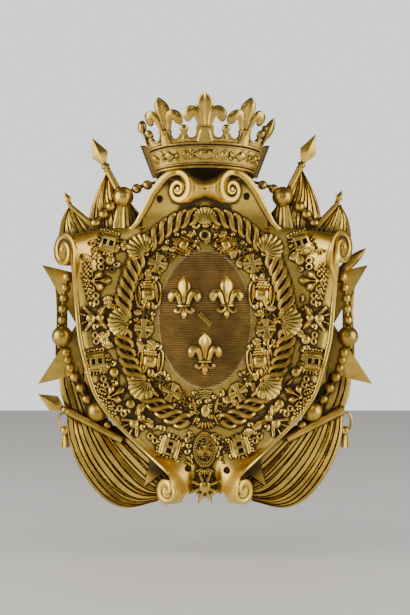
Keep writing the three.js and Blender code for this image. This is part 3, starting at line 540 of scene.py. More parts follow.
shield = {
    "halfWidth": [(-452, 68), (-445, 70), (-420, 79), (-398, 92), (-366, 132), (-330, 178), (-290, 217),
        (-252, 248), (-210, 272), (-160, 288), (-110, 299), (-66, 306), (0, 311), (83, 316), (120, 316),
        (162, 316), (172, 250), (178, 180), (200, 157), (240, 139), (275, 124), (292, 104)],
    "thickness": 15, "lowest": 42, "undercut": 14.4, "top": 292, "topDip": 16, "rimRise": 9, "rimReach": 29,
    "rim": ((92, -398, 4), (140, -358, 4), (214, -287, 4.2), (244, -249, 4.2), (267, -208, 4.2),
        (294, -110, 4.4), (301, -66, 4.4), (306, -10, 4.4), (309, 45, 4.4)),
    "screws": ((-108, 247), (99, 253), (-41, -397), (52, -401)), "screwRadius": 8, "screwDepth": 11,
    "spoolHole": (0, 267, 132, 2.6), "levels": ((-452, 150, 193), (152, 180, 16), (183, 292, 32)),
    "columns": 209, "dipFrom": 262, "rimFade": (130, 40), "topRise": (195, 100, 20), "rimBack": 16,
    "blockLevels": (-440, 282, 60), "shoulder": ((150, 172), (300, 165)), "shoulderTop": 190,
}

# The rolled ends: place, reach and turn of the face, and the strap's radius, half width and back
# at every quarter turn
ears = {
    "places": ((339.5, 120.7), (331, 128)), "reach": 96, "turn": 51, "tube": 38, "length": 70, "core": 34,
    "radii": (47, 36.7, 29.7, 26.6, 20.6, 14.8, 8), "halves": (6, 6.4, 7.6, 7.7, 8, 7.6, 6.2),
    "backs": (7, 12, 60, 70, 34, 20, 14), "rise": ((309, 76, 0.3), (309, 98, 0.8)),
    "top": ((157, 180, 250, 318, 330), (200, 178, 172, 164, 160)), "drop": (14, 0.62, 60), "from": 150,
    "lap": 14, "fade": 10, "riseLift": 8, "riseHalf": 5,
}
feet = {
    "place": (93.9, -449), "reach": 92, "turn": 42, "tube": 33, "length": 46, "core": 26, "slope": 0.86,
    "radii": (25, 26, 23.5, 18, 9, 5), "halves": (7, 7, 7.6, 8.2, 7, 5), "backs": (20, 46, 46, 30, 20, 14),
    "rise": ((75.6, -436, 106), (80, -418, 98)), "riseTilt": 0.35, "riseHalf": 5.6, "riseBack": 26,
    "fade": (-345, 95), "gap": (20, 22),
}
tops = {
    "place": (66, 267.4), "reach": 110, "turn": 39,
    "radii": [40 * math.exp(-0.236 * quarter) for quarter in range(8)],
    "halves": (6.8, 8.6, 6.9, 6.6, 5.2, 4.8, 3.8, 3), "backs": np.linspace(15, 9, 8),
    "crestRoot": ((200, 169, 5), (181, 173.5, 1)),
    "crest": ((163.7, 188.8, 74), (155.4, 203, 78), (144.6, 222.3, 82), (134.8, 241, 86),
        (125.9, 259.4, 90), (116, 273.7, 94), (104.3, 289, 99), (92.5, 299.5, 103), (80.6, 305.5, 106.5)),
    "crestHalves": (3.6, 4.6, 5.4, 5.8, 6.4, 7.2, 8, 8.6, 8.8, 8.2, 7.4), "crestTilts": (0, 0.9, 11),
    "crestBacks": (24, 15, 11), "knob": [(6, -6), (5.6, -0.6), (4, 0.2), (0, 0.2)],
}
spool = {
    "shape": ((0, 18), (10, 21.6), (20, 25), (30, 29.5), (40, 33), (60, 35)), "height": 268.5, "reach": 106,
    "half": 60,
}


def halfWidthAt(z):
    return np.interp(z, *zip(*shield["halfWidth"]))


# How far the sheet's face stands out at a place
def sheetDepth(x, z):
    x, z = np.asarray(x, float), np.asarray(z, float)
    flat, ax = layers["sheetFront"], np.abs(x)
    nearRim = smooth((ax - halfWidthAt(z)) / shield["rimReach"] + 1)
    level, fade = shield["rimFade"]
    depth = flat + shield["rimRise"] * nearRim * smooth((level - z) / fade)
    turn = math.radians(ears["turn"])
    least, share, most = ears["drop"]
    for side, (cx, cz) in zip(bothSides, ears["places"]):
        inward = np.maximum(cx - side * x, 0)
        lift = np.maximum(ears["reach"] - inward / math.tan(turn) + ears["tube"] / math.sin(turn) - flat, 0)
        top = np.interp(side * x, *ears["top"])
        above = np.clip((z - cz) / np.maximum(top - cz, 5), 0, 1)
        drop = (least + share * np.minimum(lift, most)) * (1 - np.sqrt(1 - 0.98 * above ** 2))
        here = np.where(z > cz, lift - drop, lift * smooth((z + ears["fade"]) / (cz + ears["fade"])))
        depth = depth + np.where((side * x > ears["from"]) & (z < top + ears["lap"]), here, 0)
    turn = math.radians(feet["turn"])
    inward = np.maximum(feet["place"][0] - ax, 0)
    roll = feet["reach"] - feet["slope"] * inward / math.tan(turn) + feet["tube"] / math.sin(turn) - flat
    (level, fade), (gap, widening) = feet["fade"], feet["gap"]
    depth = depth + np.maximum(roll, 0) * smooth((level - z) / fade) * smooth((ax - gap) / widening)
    level, fade, rise = shield["topRise"]
    return depth + rise * smooth((z - level) / fade)


# How motifs lie on the sheet: they follow its face and keep their own depth
onSheet = {"ground": sheetDepth, "deep": 1}


def sheetForm():
    levels = np.concatenate([np.linspace(*part) for part in shield["levels"]])
    u = np.linspace(-1, 1, shield["columns"])[None, :]
    x = u * halfWidthAt(levels)[:, None]
    top = shield["top"] - shield["topDip"] * smooth(1 - np.abs(u) / 0.6)
    z = levels[:, None] + 0 * x
    dip = shield["dipFrom"]
    z = np.where(z > dip, dip + (z - dip) * (top - dip) / (shield["top"] - dip), z)
    return wallPanel(x, z, sheetDepth(x, z), shield["thickness"], shield["lowest"])


# The block that carries the sheet, set in from its edge
def blockForm():
    levels = np.linspace(*shield["blockLevels"])
    half = np.maximum(halfWidthAt(levels) - shield["undercut"], 2)
    shoulder = np.minimum(half, np.interp(levels, *shield["shoulder"]))
    low = shield["shoulder"][0][0]
    half = np.where((levels > low) & (levels < shield["shoulderTop"]), shoulder, half)
    return plate(mirrorHalf([*zip(half, levels)]), layers["blockBack"], layers["sheetBack"] + 3, 1)


# One strap winds up from the foot, runs along the edge as the rim and winds into the ear
def edgeStrap(side):
    ear = ears["places"][side > 0]
    knots = windingKnots(side, feet["place"], feet, 0, -1)[::-1]
    rise = (side * feet["riseTilt"], 0, 1, feet["riseHalf"], feet["riseBack"])
    knots += [(side * x, z, d, *rise) for x, z, d in feet["rise"]]
    back = shield["rimBack"]
    for x, z, half in shield["rim"]:
        knots.append((side * x, z, float(sheetDepth(side * x, z)) + 6, 0, 0, 1, half, back))
    for x, z, share in ears["rise"]:
        x, z = side * (x + ear[0] - ears["places"][0][0]), z + ear[1] - ears["places"][0][1]
        depth = float(sheetDepth(x, z)) + ears["riseLift"]
        knots.append((x, z, depth, side * share, 0, 1, ears["riseHalf"], back))
    knots += windingKnots(side, ear, ears, 0, 1)
    return strap(knots, len(knots) * 4)


# Closes a winding end behind its grooves, so that they look cut in
def windingBack(side, place, end):
    core, sunk = end["core"], -4
    profile = [(core, -end["length"]), (core, sunk), (core * 0.5, sunk), (0, sunk)]
    return onFace(spunForm(profile, 28), side, place, end)


# The strap that curls forwards over the spool at one side of the top, and the knob in its eye
def topVolute(side):
    turn = math.radians(tops["turn"])
    sunk = [(x, z, float(sheetDepth(side * x, z)) - under) for x, z, under in tops["crestRoot"]]
    shares, backs = np.linspace(*tops["crestTilts"]), np.linspace(*tops["crestBacks"])
    crest = zip([*sunk, *tops["crest"]], shares, tops["crestHalves"], backs)
    knots = [(side * x, z, d, side * share * math.sin(turn), 0, 1, half, back)
             for (x, z, d), share, half, back in crest]
    yield strap(knots + windingKnots(side, tops["place"], tops, math.pi / 2, -1, 4), 170)
    yield onFace(spunForm(tops["knob"], 16), side, tops["place"], tops)


# The spool between the two upper scrolls, waisted and cut at each end along the scroll's face
def spoolForm():
    angle = fullTurn(44)
    slope = math.tan(math.radians(tops["turn"]))
    rings = []
    for x in np.linspace(-spool["half"], spool["half"], 41):
        radius = np.interp(abs(x), *zip(*spool["shape"]))
        depth = spool["reach"] + radius * np.cos(angle)
        limit = np.minimum(spool["half"], tops["place"][0] - 3 - (depth - tops["reach"]) / slope)
        z = spool["height"] + radius * np.sin(angle)
        rings.append(np.column_stack([np.clip(x, -limit, limit), z, depth]))
    return loft(rings)


# The oval field

oval = {
    "centre": (0, -41), "half": (114, 168), "rise": 22, "lip": 0.6, "linePitch": 5.6, "lineDepth": 1.5,
    "lilies": ((-50, -9), (52, -8), (0, -142)), "lilySize": 0.86, "batonHalf": 14, "batonDepth": 92,
}


# Squared share of the way from the oval's middle to its edge
def ovalAway(x, z):
    return ((x - oval["centre"][0]) / oval["half"][0]) ** 2 + ((z - oval["centre"][1]) / oval["half"][1]) ** 2


def ovalDepth(x, z):
    swell = (oval["rise"] - oval["lip"]) * (1 - np.clip(ovalAway(x, z), 0, 1)) ** 1.2
    return layers["sheetFront"] + oval["lip"] + swell


def ovalForm():
    middle, half = oval["centre"][1], oval["half"][1]
    levels = np.arange(middle - half + 0.4, middle + half, oval["linePitch"] / 4)[:, None]
    width = oval["half"][0] * np.sqrt(np.maximum(1 - ((levels - middle) / half) ** 2, 1e-4))
    x = np.sin(np.linspace(-math.pi / 2, math.pi / 2, 41))[None, :] * width
    z = levels + 0 * x
    groove = np.cos(2 * math.pi * levels / oval["linePitch"])
    wander = 0.6 * np.sin(x * 0.11 + z * 0.05) + 0.4 * np.sin(x * 0.23 - z * 0.31)
    cut = groove ** 3 * 0.6 + groove * 0.4 + 0.14 * wander
    lines = smooth((1 - ovalAway(x, z)) / 0.12) * oval["lineDepth"] * cut
    return panel(x, z, ovalDepth(x, z) + lines, layers["sheetFront"] - 3)


def lilyFieldForms():
    for x, z in oval["lilies"]:
        yield placed(lily, x, z, 1, size=oval["lilySize"], ground=ovalDepth, deep=1)
    middle, reach, depth = oval["centre"][1], oval["batonHalf"], oval["batonDepth"]
    baton = smoothLine([(-reach, middle + reach, depth), (reach, middle - reach, depth)], 4)
    yield tube(baton, 5, 5, sides=8, square=0.5)


# The knotted collar

knot = {
    "centre": -43, "half": (197, 250), "swing": 17.2, "pitch": 23.2, "rise": 15, "strand": 6,
    "span": (1.8, 2.2, 2.2, 2.2), "shells": ((156, 133), (205, -48), (153, -205)), "palmette": (0, 197),
    "end": (38, -302), "shell": (53, 18, 10, 2.75, 0.45), "shellIn": 25,
    "palmetteShell": (46, 16, 11, 2.1, 0.3), "gaps": (20, 13, 13, 13, 6),
    "crossing": (4.4, 3.6, 3.2, 3.6, 4.4), "dip": (0.75, 0.6, 0.54, 0.6, 0.75),
}


# A line at one side of the knotted course: its angles, how far out it lies and its height over the sheet
def knotLine(side, along, out, height):
    x = side * (knot["half"][0] + out) * np.cos(along)
    z = knot["centre"] + (knot["half"][1] + out) * np.sin(along)
    return np.column_stack([x, z, sheetDepth(x, z) + height])


# The strands of one run between two stops, each swinging from the course's outer to its inner edge
def knotRun(side, run, start, stop):
    middle = (start + stop) / 2
    speed = math.hypot(knot["half"][0] * math.sin(middle), knot["half"][1] * math.cos(middle))
    first = start - knot["gaps"][run] / speed
    last = stop + knot["gaps"][run + 1] / speed
    count = max(2, round((first - last) * speed / knot["pitch"]))
    step = (first - last) / count
    for k in range(-1, count):
        t = np.linspace(0, 1, 21)
        along = first - step * (k + 1) + step * knot["span"][run] * (0.5 - t)
        across = knot["swing"] * np.cos(math.pi * (0.35 * t + 0.65 * smooth(t)))
        inBand = (along < first + step * 0.12) & (along > last - step * 0.12)
        if inBand.sum() < 6:
            continue
        along, across, t = along[inBand], across[inBand], t[inBand]
        height = 2 + (knot["rise"] - 3) * np.sin(math.pi * np.clip(t, 0.03, 0.97)) ** 0.38
        size = knot["strand"] * (0.85 + 0.15 * np.sin(math.pi * t))
        yield tube(knotLine(side, along, across, height), size, size * 1.1)
        if len(t) > 19:
            dip = 1 + knot["rise"] * np.array(knot["dip"])
            yield tube(knotLine(side, np.linspace(along[10], along[10] - step, 5), 0, dip), knot["crossing"])


def knotForms():
    places = (knot["palmette"], *knot["shells"], knot["end"])
    stops = [math.atan2((z - knot["centre"]) / knot["half"][1], x / knot["half"][0]) for x, z in places]
    shell = shellForm(*knot["shell"])
    for side in bothSides:
        for run in range(len(stops) - 1):
            yield from knotRun(side, run, stops[run], stops[run + 1])
        for x, z in knot["shells"]:
            away = math.atan2(z - knot["centre"], side * x)
            x, z = side * x - math.cos(away) * knot["shellIn"], z - math.sin(away) * knot["shellIn"]
            yield placed(shell, x, z, 3, turn=away - math.pi / 2, **onSheet)
            yield placed(ball, x, z, 6, 6, ground=sheetDepth)
    x, z = knot["palmette"]
    yield placed(shellForm(*knot["palmetteShell"]), x, z - 16, 3, **onSheet)
    yield placed(ball, x, z - 14, 7, 7, ground=sheetDepth)
    for side in bothSides:
        yield placed(curls[side], side * 14, z - 12, 5, 1.6, ground=sheetDepth)


# The outer collar

chain = {
    "course": ((231, 143), (248, 92), (257, 50), (260, 8), (263, -38), (261, -86), (258, -141),
        (240, -190), (222, -222), (199, -260), (162, -281), (125, -325), (83.5, -346)),
    "frames": ((231, 143, 0.3), (258, -141, -0.12), (83.5, -346, -1.27)), "frameSize": (37, 32, 13),
    "flowers": ((264, 50), (226, -226)), "arms": ((263, -38), (162, -284)), "trophy": 38,
    "rings": ((248, 92), (260, 8), (261, -86), (240, -190), (199, -260), (125, -325)),
    "bosses": ((227, 100), (241, -90), (217, -168), (178, -244)), "lanes": (-28, -14, 0, 14, 28),
    "pitch": 14.5, "grow": 1.12, "edgeMargin": 42, "marginBelow": 110, "flowerIn": 14, "ringGap": 7.6,
    "boss": [(12.5, -3), (12, 4), (10, 7.5), (5, 9.6), (0, 10)],
    "clear": {"frames": 27, "flowers": 33, "arms": 35, "rings": 17, "bosses": 13, "screws": 15},
}

# Small motifs packed between the larger ones: form, depth, size, width and whether it is turned
# A depth of 0 stands for a drawn one
fillers = ((curls[-1], 0, 1.05, 1, True), (curls[1], 0, 1.05, 1, True), (smallShell, 2, 0.9, 1, True),
           (smallShell, 2, 0.9, 1, True), (fineBall, 3, 3.7, 1, False), (smallLeaf, 2, 0.75, 1.2, True),
           (smallLeaf, 2, 0.75, 1.2, True), (smallLink, 4, 0.78, 1, False))


# Fills a collar's lanes wherever no larger motif lies
def packedCourse(collar, taken, side, pick):
    line = smoothLine(collar["course"], 300)
    run = unit(np.gradient(line, axis=0))
    length = np.concatenate([[0], np.cumsum(np.linalg.norm(np.diff(line, axis=0), axis=1))])
    for s in np.arange(0, length[-1] + 1, collar["pitch"]):
        k = min(int(np.searchsorted(length, s)), 300)
        for lane in collar["lanes"]:
            x = line[k, 0] - run[k, 1] * lane + pick.uniform(-2, 2)
            z = line[k, 1] + run[k, 0] * lane + pick.uniform(-2, 2)
            form, depth, grow, wide, turned = fillers[pick.randrange(8)]
            turn, size = pick.uniform(0, 6.28), pick.uniform(0.95, 1.2) * collar["grow"]
            if z < chain["marginBelow"] and halfWidthAt(z) - x < chain["edgeMargin"]:
                continue
            if any(math.hypot(x - a, z - b) < reach for a, b, reach in taken):
                continue
            depth = depth or pick.uniform(1, 3)
            yield placed(form, side * x, z, depth, grow * size, turn * turned, wide, ground=sheetDepth)


# Turn that lays a trophy with its foot towards the shield's edge
def outward(side, z):
    return math.atan2((halfWidthAt(z - 10) - halfWidthAt(z + 10)) / 20, side) - math.pi / 2


def chainForms():
    pick = random.Random(11)
    windowFrame = joinForms(windowFrameForms(*chain["frameSize"]))
    flower = joinForms(flowerTrophyForms(chain["trophy"], pick))
    arms = joinForms(armsTrophyForms(chain["trophy"]))
    boss = spunForm(chain["boss"], 18)
    clear = chain["clear"]
    taken = [(x, z, clear["frames"]) for x, z, _ in chain["frames"]]
    taken += [(x - chain["flowerIn"], z, clear["flowers"]) for x, z in chain["flowers"]]
    taken += [(x, z, clear[name]) for name in ("arms", "rings", "bosses") for x, z in chain[name]]
    taken += [(abs(x), z, clear["screws"]) for x, z in shield["screws"]]
    for side in bothSides:
        for x, z, turn in chain["frames"]:
            yield placed(windowFrame, side * x, z, 1, turn=turn * side, **onSheet)
        for trophy, places in ((flower, chain["flowers"]), (arms, chain["arms"])):
            for x, z in places:
                yield placed(trophy, side * x, z, 1, turn=outward(side, z), flip=side < 0, **onSheet)
        for x, z in chain["rings"]:
            turn = outward(side, z)
            for k in bothSides:
                dx, dz = k * math.cos(turn) * chain["ringGap"], k * math.sin(turn) * chain["ringGap"]
                yield placed(link, side * x + dx, z + dz, 6 + k * 0.8, **onSheet)
        for x, z in chain["bosses"]:
            yield placed(boss, side * x, z, **onSheet)
        yield from packedCourse(chain, taken, side, pick)


pendant = {
    "place": (-1, -353),
    "profile": [(28.5, -3), (28.5, 6), (27, 8.5), (25, 8.5), (24, 6), (22.5, 6), (21.5, 9), (20, 9),
        (19, 7.5), (10, 10.5), (0, 11.5)], "tall": 1.5, "beads": 30, "beadRun": (23.2, 35), "leaves": 22,
    "leafRun": (14, 23), "sideCurls": 6, "star": (0, -441), "starDepth": 72, "rays": 8, "rayTip": 41,
    "thinRays": (-0.14, 0.14, 0.39), "starHub": [(14, -14), (14, 10), (11, 13), (6, 14), (0, 15)],
}


# Beaded oval filled with small leaves, hung from the outer collar, and the star under it
def pendantForms():
    x, z = pendant["place"]
    pick = random.Random(4)
    yield placed(spunForm(pendant["profile"], 44), x, z, tall=pendant["tall"], **onSheet)
    for turn in fullTurn(pendant["beads"]):
        dx, dz = pendant["beadRun"][0] * math.cos(turn), pendant["beadRun"][1] * math.sin(turn)
        yield placed(fineBall, x + dx, z + dz, 8, 1.9, ground=sheetDepth)
    for k in range(pendant["leaves"]):
        turn, reach = k * 2.4, 0.2 + 0.8 * math.sqrt((k + 0.5) / pendant["leaves"])
        dx, dz = (size * reach for size in pendant["leafRun"])
        form = smallLeaf if k % 3 else curls[1]
        dx, dz = dx * math.cos(turn), dz * math.sin(turn)
        yield placed(form, x + dx, z + dz, 8.5, 0.56, pick.uniform(0, 6.28), **onSheet)
    yield placed(ball, x, z + 8, 11, 4.4, ground=sheetDepth)
    for side in bothSides:
        for k in range(pendant["sideCurls"]):
            level = 36 - 12 * k
            out = 33 + 4 * (k % 2) - 0.004 * level * level
            turn = side * (0.6 - 0.4 * k)
            yield placed(curls[side], x + side * out, z + level, 3, 1.15, turn, **onSheet)
            yield placed(fineBall, x + side * (out + 9), z + level - 5, 4, 3.2, ground=sheetDepth)
    for turn in np.arange(-3, 4) * 0.34:
        dx, dz = math.sin(turn) * 8, 42 + 4 * math.cos(turn)
        yield placed(smallLeaf, x + dx, z - dz, 3, 0.9, math.pi + turn, **onSheet)
    x, z = pendant["star"]
    depth = pendant["starDepth"]
    ray = leafForm(44, 13, 11, belly=0.55, grooves=0.7, rows=8, cols=5, root=0.6)
    thin = leafForm(34, 6, 7, belly=0.5, grooves=0, rows=5, cols=5, root=0.6)
    tip = pendant["rayTip"]
    for turn in fullTurn(pendant["rays"]) + math.pi / pendant["rays"]:
        yield placed(ray, x, z, depth + 2, 0.95, turn=turn)
        for more in pendant["thinRays"]:
            yield placed(thin, x, z, depth, 0.95, turn=turn + more)
        yield placed(fineBall, x - math.sin(turn) * tip, z + math.cos(turn) * tip, depth + 4, 2.8)
    yield placed(spunForm(pendant["starHub"], 20), x, z, depth)


# The inner collar

inner = {
    "course": ((20, 158), (53, 140), (84, 122), (113, 92), (128, 58), (136, 22), (143, -28), (146, -63),
        (143, -98), (131, -138), (110, -178), (80, -216), (48, -240)), "lanes": (-17, -6, 6, 17),
    "pitch": 10.5, "grow": 0.88,
    "plaques": ((136, 22, 1, -0.06, 24), (131, -138, 1, 0.12, 24), (53, 138, 0.72, 0.5 - math.pi / 2, 15)),
    "medals": ((113, 92, 0.28), (146, -63, 0.08), (79, -216, 0.5)), "medalRadius": 24,
    "rings": ((92, 118), (147, -30), (108, -186), (50, -238)), "ring": (0, 160), "medalClear": 24,
    "ringsClear": 10, "ringClear": 14,
}
badge = {
    "place": (1, -260), "body": [(11.5, -3), (11.5, 7), (10, 11), (5, 13.5), (0, 14)],
    "bars": ((42, 14), (36.5, 13), (31, 10)), "knobs": ((12, 26), (35, 17), (36, -2), (20, -30), (12, -33)),
    "curls": ((16, 14, 0.5), (15, -2, 0), (16, -18, -0.6), (30, 6, 1), (31, -10, 2), (27, -24, 2.6),
        (24, 38, 1.2), (10, 22, 0)),
}


def innerForms():
    pick = random.Random(23)
    plaque = joinForms(plaqueForms())
    medal = joinForms(medalForms(inner["medalRadius"], 22, 12))
    taken = [(x, z, reach) for x, z, _, _, reach in inner["plaques"]]
    taken += [(x, z, inner["medalClear"]) for x, z, _ in inner["medals"]]
    taken += [(x, z, inner["ringsClear"]) for x, z in inner["rings"]] + [(*inner["ring"], inner["ringClear"])]
    yield placed(ringForm(10, 3.3, 24, 9), *inner["ring"], 7, **onSheet)
    for side in bothSides:
        for x, z, size, turn, _ in inner["plaques"]:
            yield placed(plaque, side * x, z, 2, size, turn=side * turn, flip=side < 0, **onSheet)
        for x, z, turn in inner["medals"]:
            yield placed(medal, side * x, z, 2, turn=side * turn, **onSheet)
        for x, z in inner["rings"]:
            for k in bothSides:
                yield placed(smallLink, side * (x + k * 4), z + k * 6, 5 + k * 0.6, **onSheet)
        yield from packedCourse(inner, taken, side, pick)


# The crowned badge at the foot of the inner collar
def badgeForms():
    x, z = badge["place"]
    yield placed(spunForm(badge["body"], 22), x, z, 1, wide=0.95, tall=1.45, **onSheet)
    for level, half in badge["bars"]:
        bar = tube([(-half, level, 6), (0, level + 2, 9), (half, level, 6)], 1.9, sides=6)
        yield placed(bar, x, z, **onSheet)
    for k in range(-2, 3):
        yield placed(fineBall, x + k * 6, z + 48 - abs(k), 6, 2.8, ground=sheetDepth)
        yield placed(smallLeaf, x + k * 5, z - 26, 3, 0.8, turn=math.pi + 0.28 * k, **onSheet)
    broad = leafForm(38, 11, 10, belly=0.5, grooves=0.4)
    for side in bothSides:
        yield placed(broad, x + side * 22, z - 6, 3, turn=-side * 0.22, **onSheet)
        yield placed(broad, x + side * 18, z - 8, 2, 0.8, turn=math.pi + side * 0.5, **onSheet)
        for a, b, turn in badge["curls"]:
            yield placed(curls[side], x + side * a, z + b, 2.5, turn=side * turn, **onSheet)
        for a, b in badge["knobs"]:
            yield placed(fineBall, x + side * a, z + b, 4, 3.2, ground=sheetDepth)


# The ground of arms behind the shield

ground = {
    "board": [(142, 368), (116, 300), (116, 262), (150, 190), (292, 160), (292, -190), (212, -288),
        (88, -425)],
    "cross": [(66, 12), (394, 90), (312, -54), (404, -198), (66, -120), (148, -446), (0, -338)],
    "footPlate": [(148, -446), (121, -340), (62, -320), (44, -368)], "footPlateFront": 38,
    "thread": ((112, 291), (150, 282), (182, 268)), "blade": (318, 64, 20), "bladeTurn": -0.83,
    "loop": (342, -290, 22), "loopHalf": (13, 22), "loopWire": 3.4,
    "smallTassel": (340, -311, 10.5, 34, 20, 8),
    "boardEdge": 2.5, "crossBack": 6, "crossFront": 28, "footPlateBack": 20,
}
# Tip, neck and foot of each spear at the left and at the right; width and depth
spears = {
    "inner": (((-274, 398), (-239, 325), (-150, 160)), ((270, 408), (232, 329), (147, 160))),
    "outer": (((-339, 266), (-327, 236), (-230, 150)), ((331, 270), (319, 239), (240, 150))),
    "lower": ((-403, -222), (-336, -261), (-200, -333)), "butt": ((336, -259), (198, -330)), "wide": 39,
    "narrow": 19, "depth": 30, "lowerDepth": 40.3, "poleRadius": 9.5,
    "blade": ((0, 0.2, 5), (0.1, 0.24, 5), (0.2, 0.5, 6), (0.42, 1.0, 7.4), (0.48, 0.98, 7.2),
        (0.75, 0.48, 5), (1, 0.02, 0.6)),
    "ridge": ((-1, 0), (-0.5, 0.42), (0, 1), (0.5, 0.42), (1, 0), (0.3, -0.6), (-0.3, -0.6)),
    "collar": ((-3, 0.8), (0, 1.1), (3, 1.2), (6, 0.9), (9, 0.75), (12, 0.95), (15, 0.8)),
}
beads = {
    "runs": (((139, 283), (165, 274)), ((228, 231), (245, 212), (264, 191)), ((332, 61), (341, 10),
        (345, -43)), ((335, -122), (321, -170), (286, -235)), ((235, -297), (235, -297))), "pitch": 25.5,
    "radius": 12, "large": ((345, -83), (260, -265)), "largeRadius": 25.5, "depth": 34, "vary": (0.94, 1.04),
    "cord": 3.6, "endRing": (9, 3.2, 18, 8), "ringOut": 26,
}
tassels = {
    "heads": ((-197, 254), (187, 254)), "radius": 25, "length": 58, "depth": 34,
    "skirt": ((0, 0.5), (0.06, 0.66), (0.12, 0.6), (0.18, 0.64), (0.5, 0.78), (0.85, 0.9), (1, 0.93)),
}
cloths = (
    {"outer": ((236, 320), (266, 262), (281, 212), (284, 168)),
     "inner": ((232, 322), (196, 262), (152, 205), (140, 168)), "folds": 11, "rise": 13, "lowest": 20},
    {"outer": ((330, 236), (348, 200), (356, 160)), "inner": ((324, 236), (292, 206), (245, 160)),
     "folds": 8, "rise": 10, "lowest": 20},
    {"outer": ((366, 40), (362, -40), (366, -130)), "inner": ((335, 40), (335, -40), (335, -130)),
     "folds": 3, "rise": 7, "lowest": 8},
    {"outer": ((356, -160), (352, -215), (338, -262)), "inner": ((280, -140), (258, -215), (226, -316)),
     "folds": 6, "rise": 10, "lowest": 20},
    {"outer": ((336, -262), (332, -330), (304, -404), (250, -474), (192, -499.3), (118, -483.5)),
     "inner": ((222, -300), (176, -320), (136, -348), (100, -380), (78, -410), (62, -440)),
     "folds": 17, "rise": 15, "lowest": 20},
)


# Cloth between two edges with sharp folds that wander along it
def clothForm(side, cloth, seed):
    pick = random.Random(seed)
    folds = cloth["folds"]
    rows, cols = 50 if folds > 10 else 18, folds * 9 + 1
    outer, inside = (smoothLine(cloth[name], rows - 1) for name in ("outer", "inner"))
    t, u = np.linspace(0, 1, rows)[:, None], np.linspace(0, 1, cols)[None, :]
    slits = [0 * t]
    for k in range(1, folds):
        middle = (k + pick.uniform(-0.38, 0.38)) / folds
        bend = pick.uniform(-0.032, 0.032)
        slits.append(middle + bend * np.sin(t * math.pi * pick.uniform(0.7, 1.5) + pick.uniform(0, 3)))
    slits.append(0 * t + 1)
    d = np.zeros((rows, cols))
    for low, high in zip(slits, slits[1:]):
        share = (u - low) / (high - low)
        start, end = pick.choice(((0.6, 1), (1, 0.62), (0.8, 0.95), (0.7, 1)))
        start = start + pick.uniform(-0.1, 0.1) * np.sin(3 * t)
        end = end + pick.uniform(-0.1, 0.1) * np.sin(4 * t)
        fold = (start + (end - start) * share) * smooth(np.minimum(share, 1 - share) / 0.16 + 0.15)
        d = np.where((share >= 0) & (share <= 1), fold, d)
    swell = 0.825 + 0.175 * np.sin(math.pi * (0.12 + 0.76 * t))
    depth = cloth["lowest"] + cloth["rise"] * d * swell - 5 * (1 - smooth(np.minimum(u, 1 - u) / 0.04 + 0.3))
    x, z = (outer[:, k:k + 1] * (1 - u) + inside[:, k:k + 1] * u for k in (0, 1))
    return panel(x * side, z, depth, 3)


# A spear: ridged blade, collar and pole
def spearForms(places, width, depth):
    tip, neck, foot = (np.array(p, float) for p in places)
    length = np.linalg.norm(tip - neck)
    run = (tip - neck) / length
    across = np.array([-run[1], run[0]])
    yield loft([[(*(neck + run * length * share + across * a * half * width / 2), depth + thick * rise)
                 for a, rise in spears["ridge"]] for share, half, thick in spears["blade"]])
    radius, scale = spears["poleRadius"], width / spears["wide"]
    grow = max(scale, 0.6)
    line = [(*(neck - run * (a - 6) * grow), depth) for a, _ in spears["collar"]]
    yield tube(line, [radius * s * grow for _, s in spears["collar"]], sides=14)
    pole = smoothLine([(*(neck - run * 4), depth), (*foot, depth)], 12)
    yield tube(pole, np.linspace(radius * 0.84 * max(scale, 0.72), radius, 13), sides=14)


# A tassel: smooth head, bound neck and a fluted skirt
def tasselForms(x, z, radius, length, depth, flutes=13):
    yield placed(bead, x, z, depth + 4, radius)
    angle = fullTurn(flutes * 4)
    rings = []
    for share, size in tassels["skirt"]:
        r = radius * size * (1 + 0.1 * min(1, share * 6) * np.cos(angle * flutes))
        level = np.full(len(angle), z - radius * 0.7 - length * share)
        rings.append(np.stack([x + r * np.cos(angle), level, depth + 0.8 * r * np.sin(angle)], 1))
    yield loft(rings)


# The strings of beads at one side
def beadForms(side, pick):
    for run in beads["runs"]:
        line = smoothLine([(side * x, z, beads["depth"]) for x, z in run], 40)
        count = round(np.linalg.norm(np.diff(line, axis=0), axis=1).sum() / beads["pitch"])
        for k in range(count + 1):
            place = line[round(k / count * 40) if count else 0]
            yield placed(bead, *place, beads["radius"] * pick.uniform(*beads["vary"]))
        if count:
            yield tube(line[::5], beads["cord"], sides=6)
    ring = ringForm(*beads["endRing"])
    for x, z in beads["large"]:
        yield placed(bead, side * x, z, beads["depth"], beads["largeRadius"])
        for k in bothSides:
            yield placed(ring, side * x, z + k * beads["ringOut"], beads["depth"], tall=0.35, deep=1)
    yield tube(smoothLine([(side * x, z, beads["depth"]) for x, z in ground["thread"]], 8), 4, sides=7)


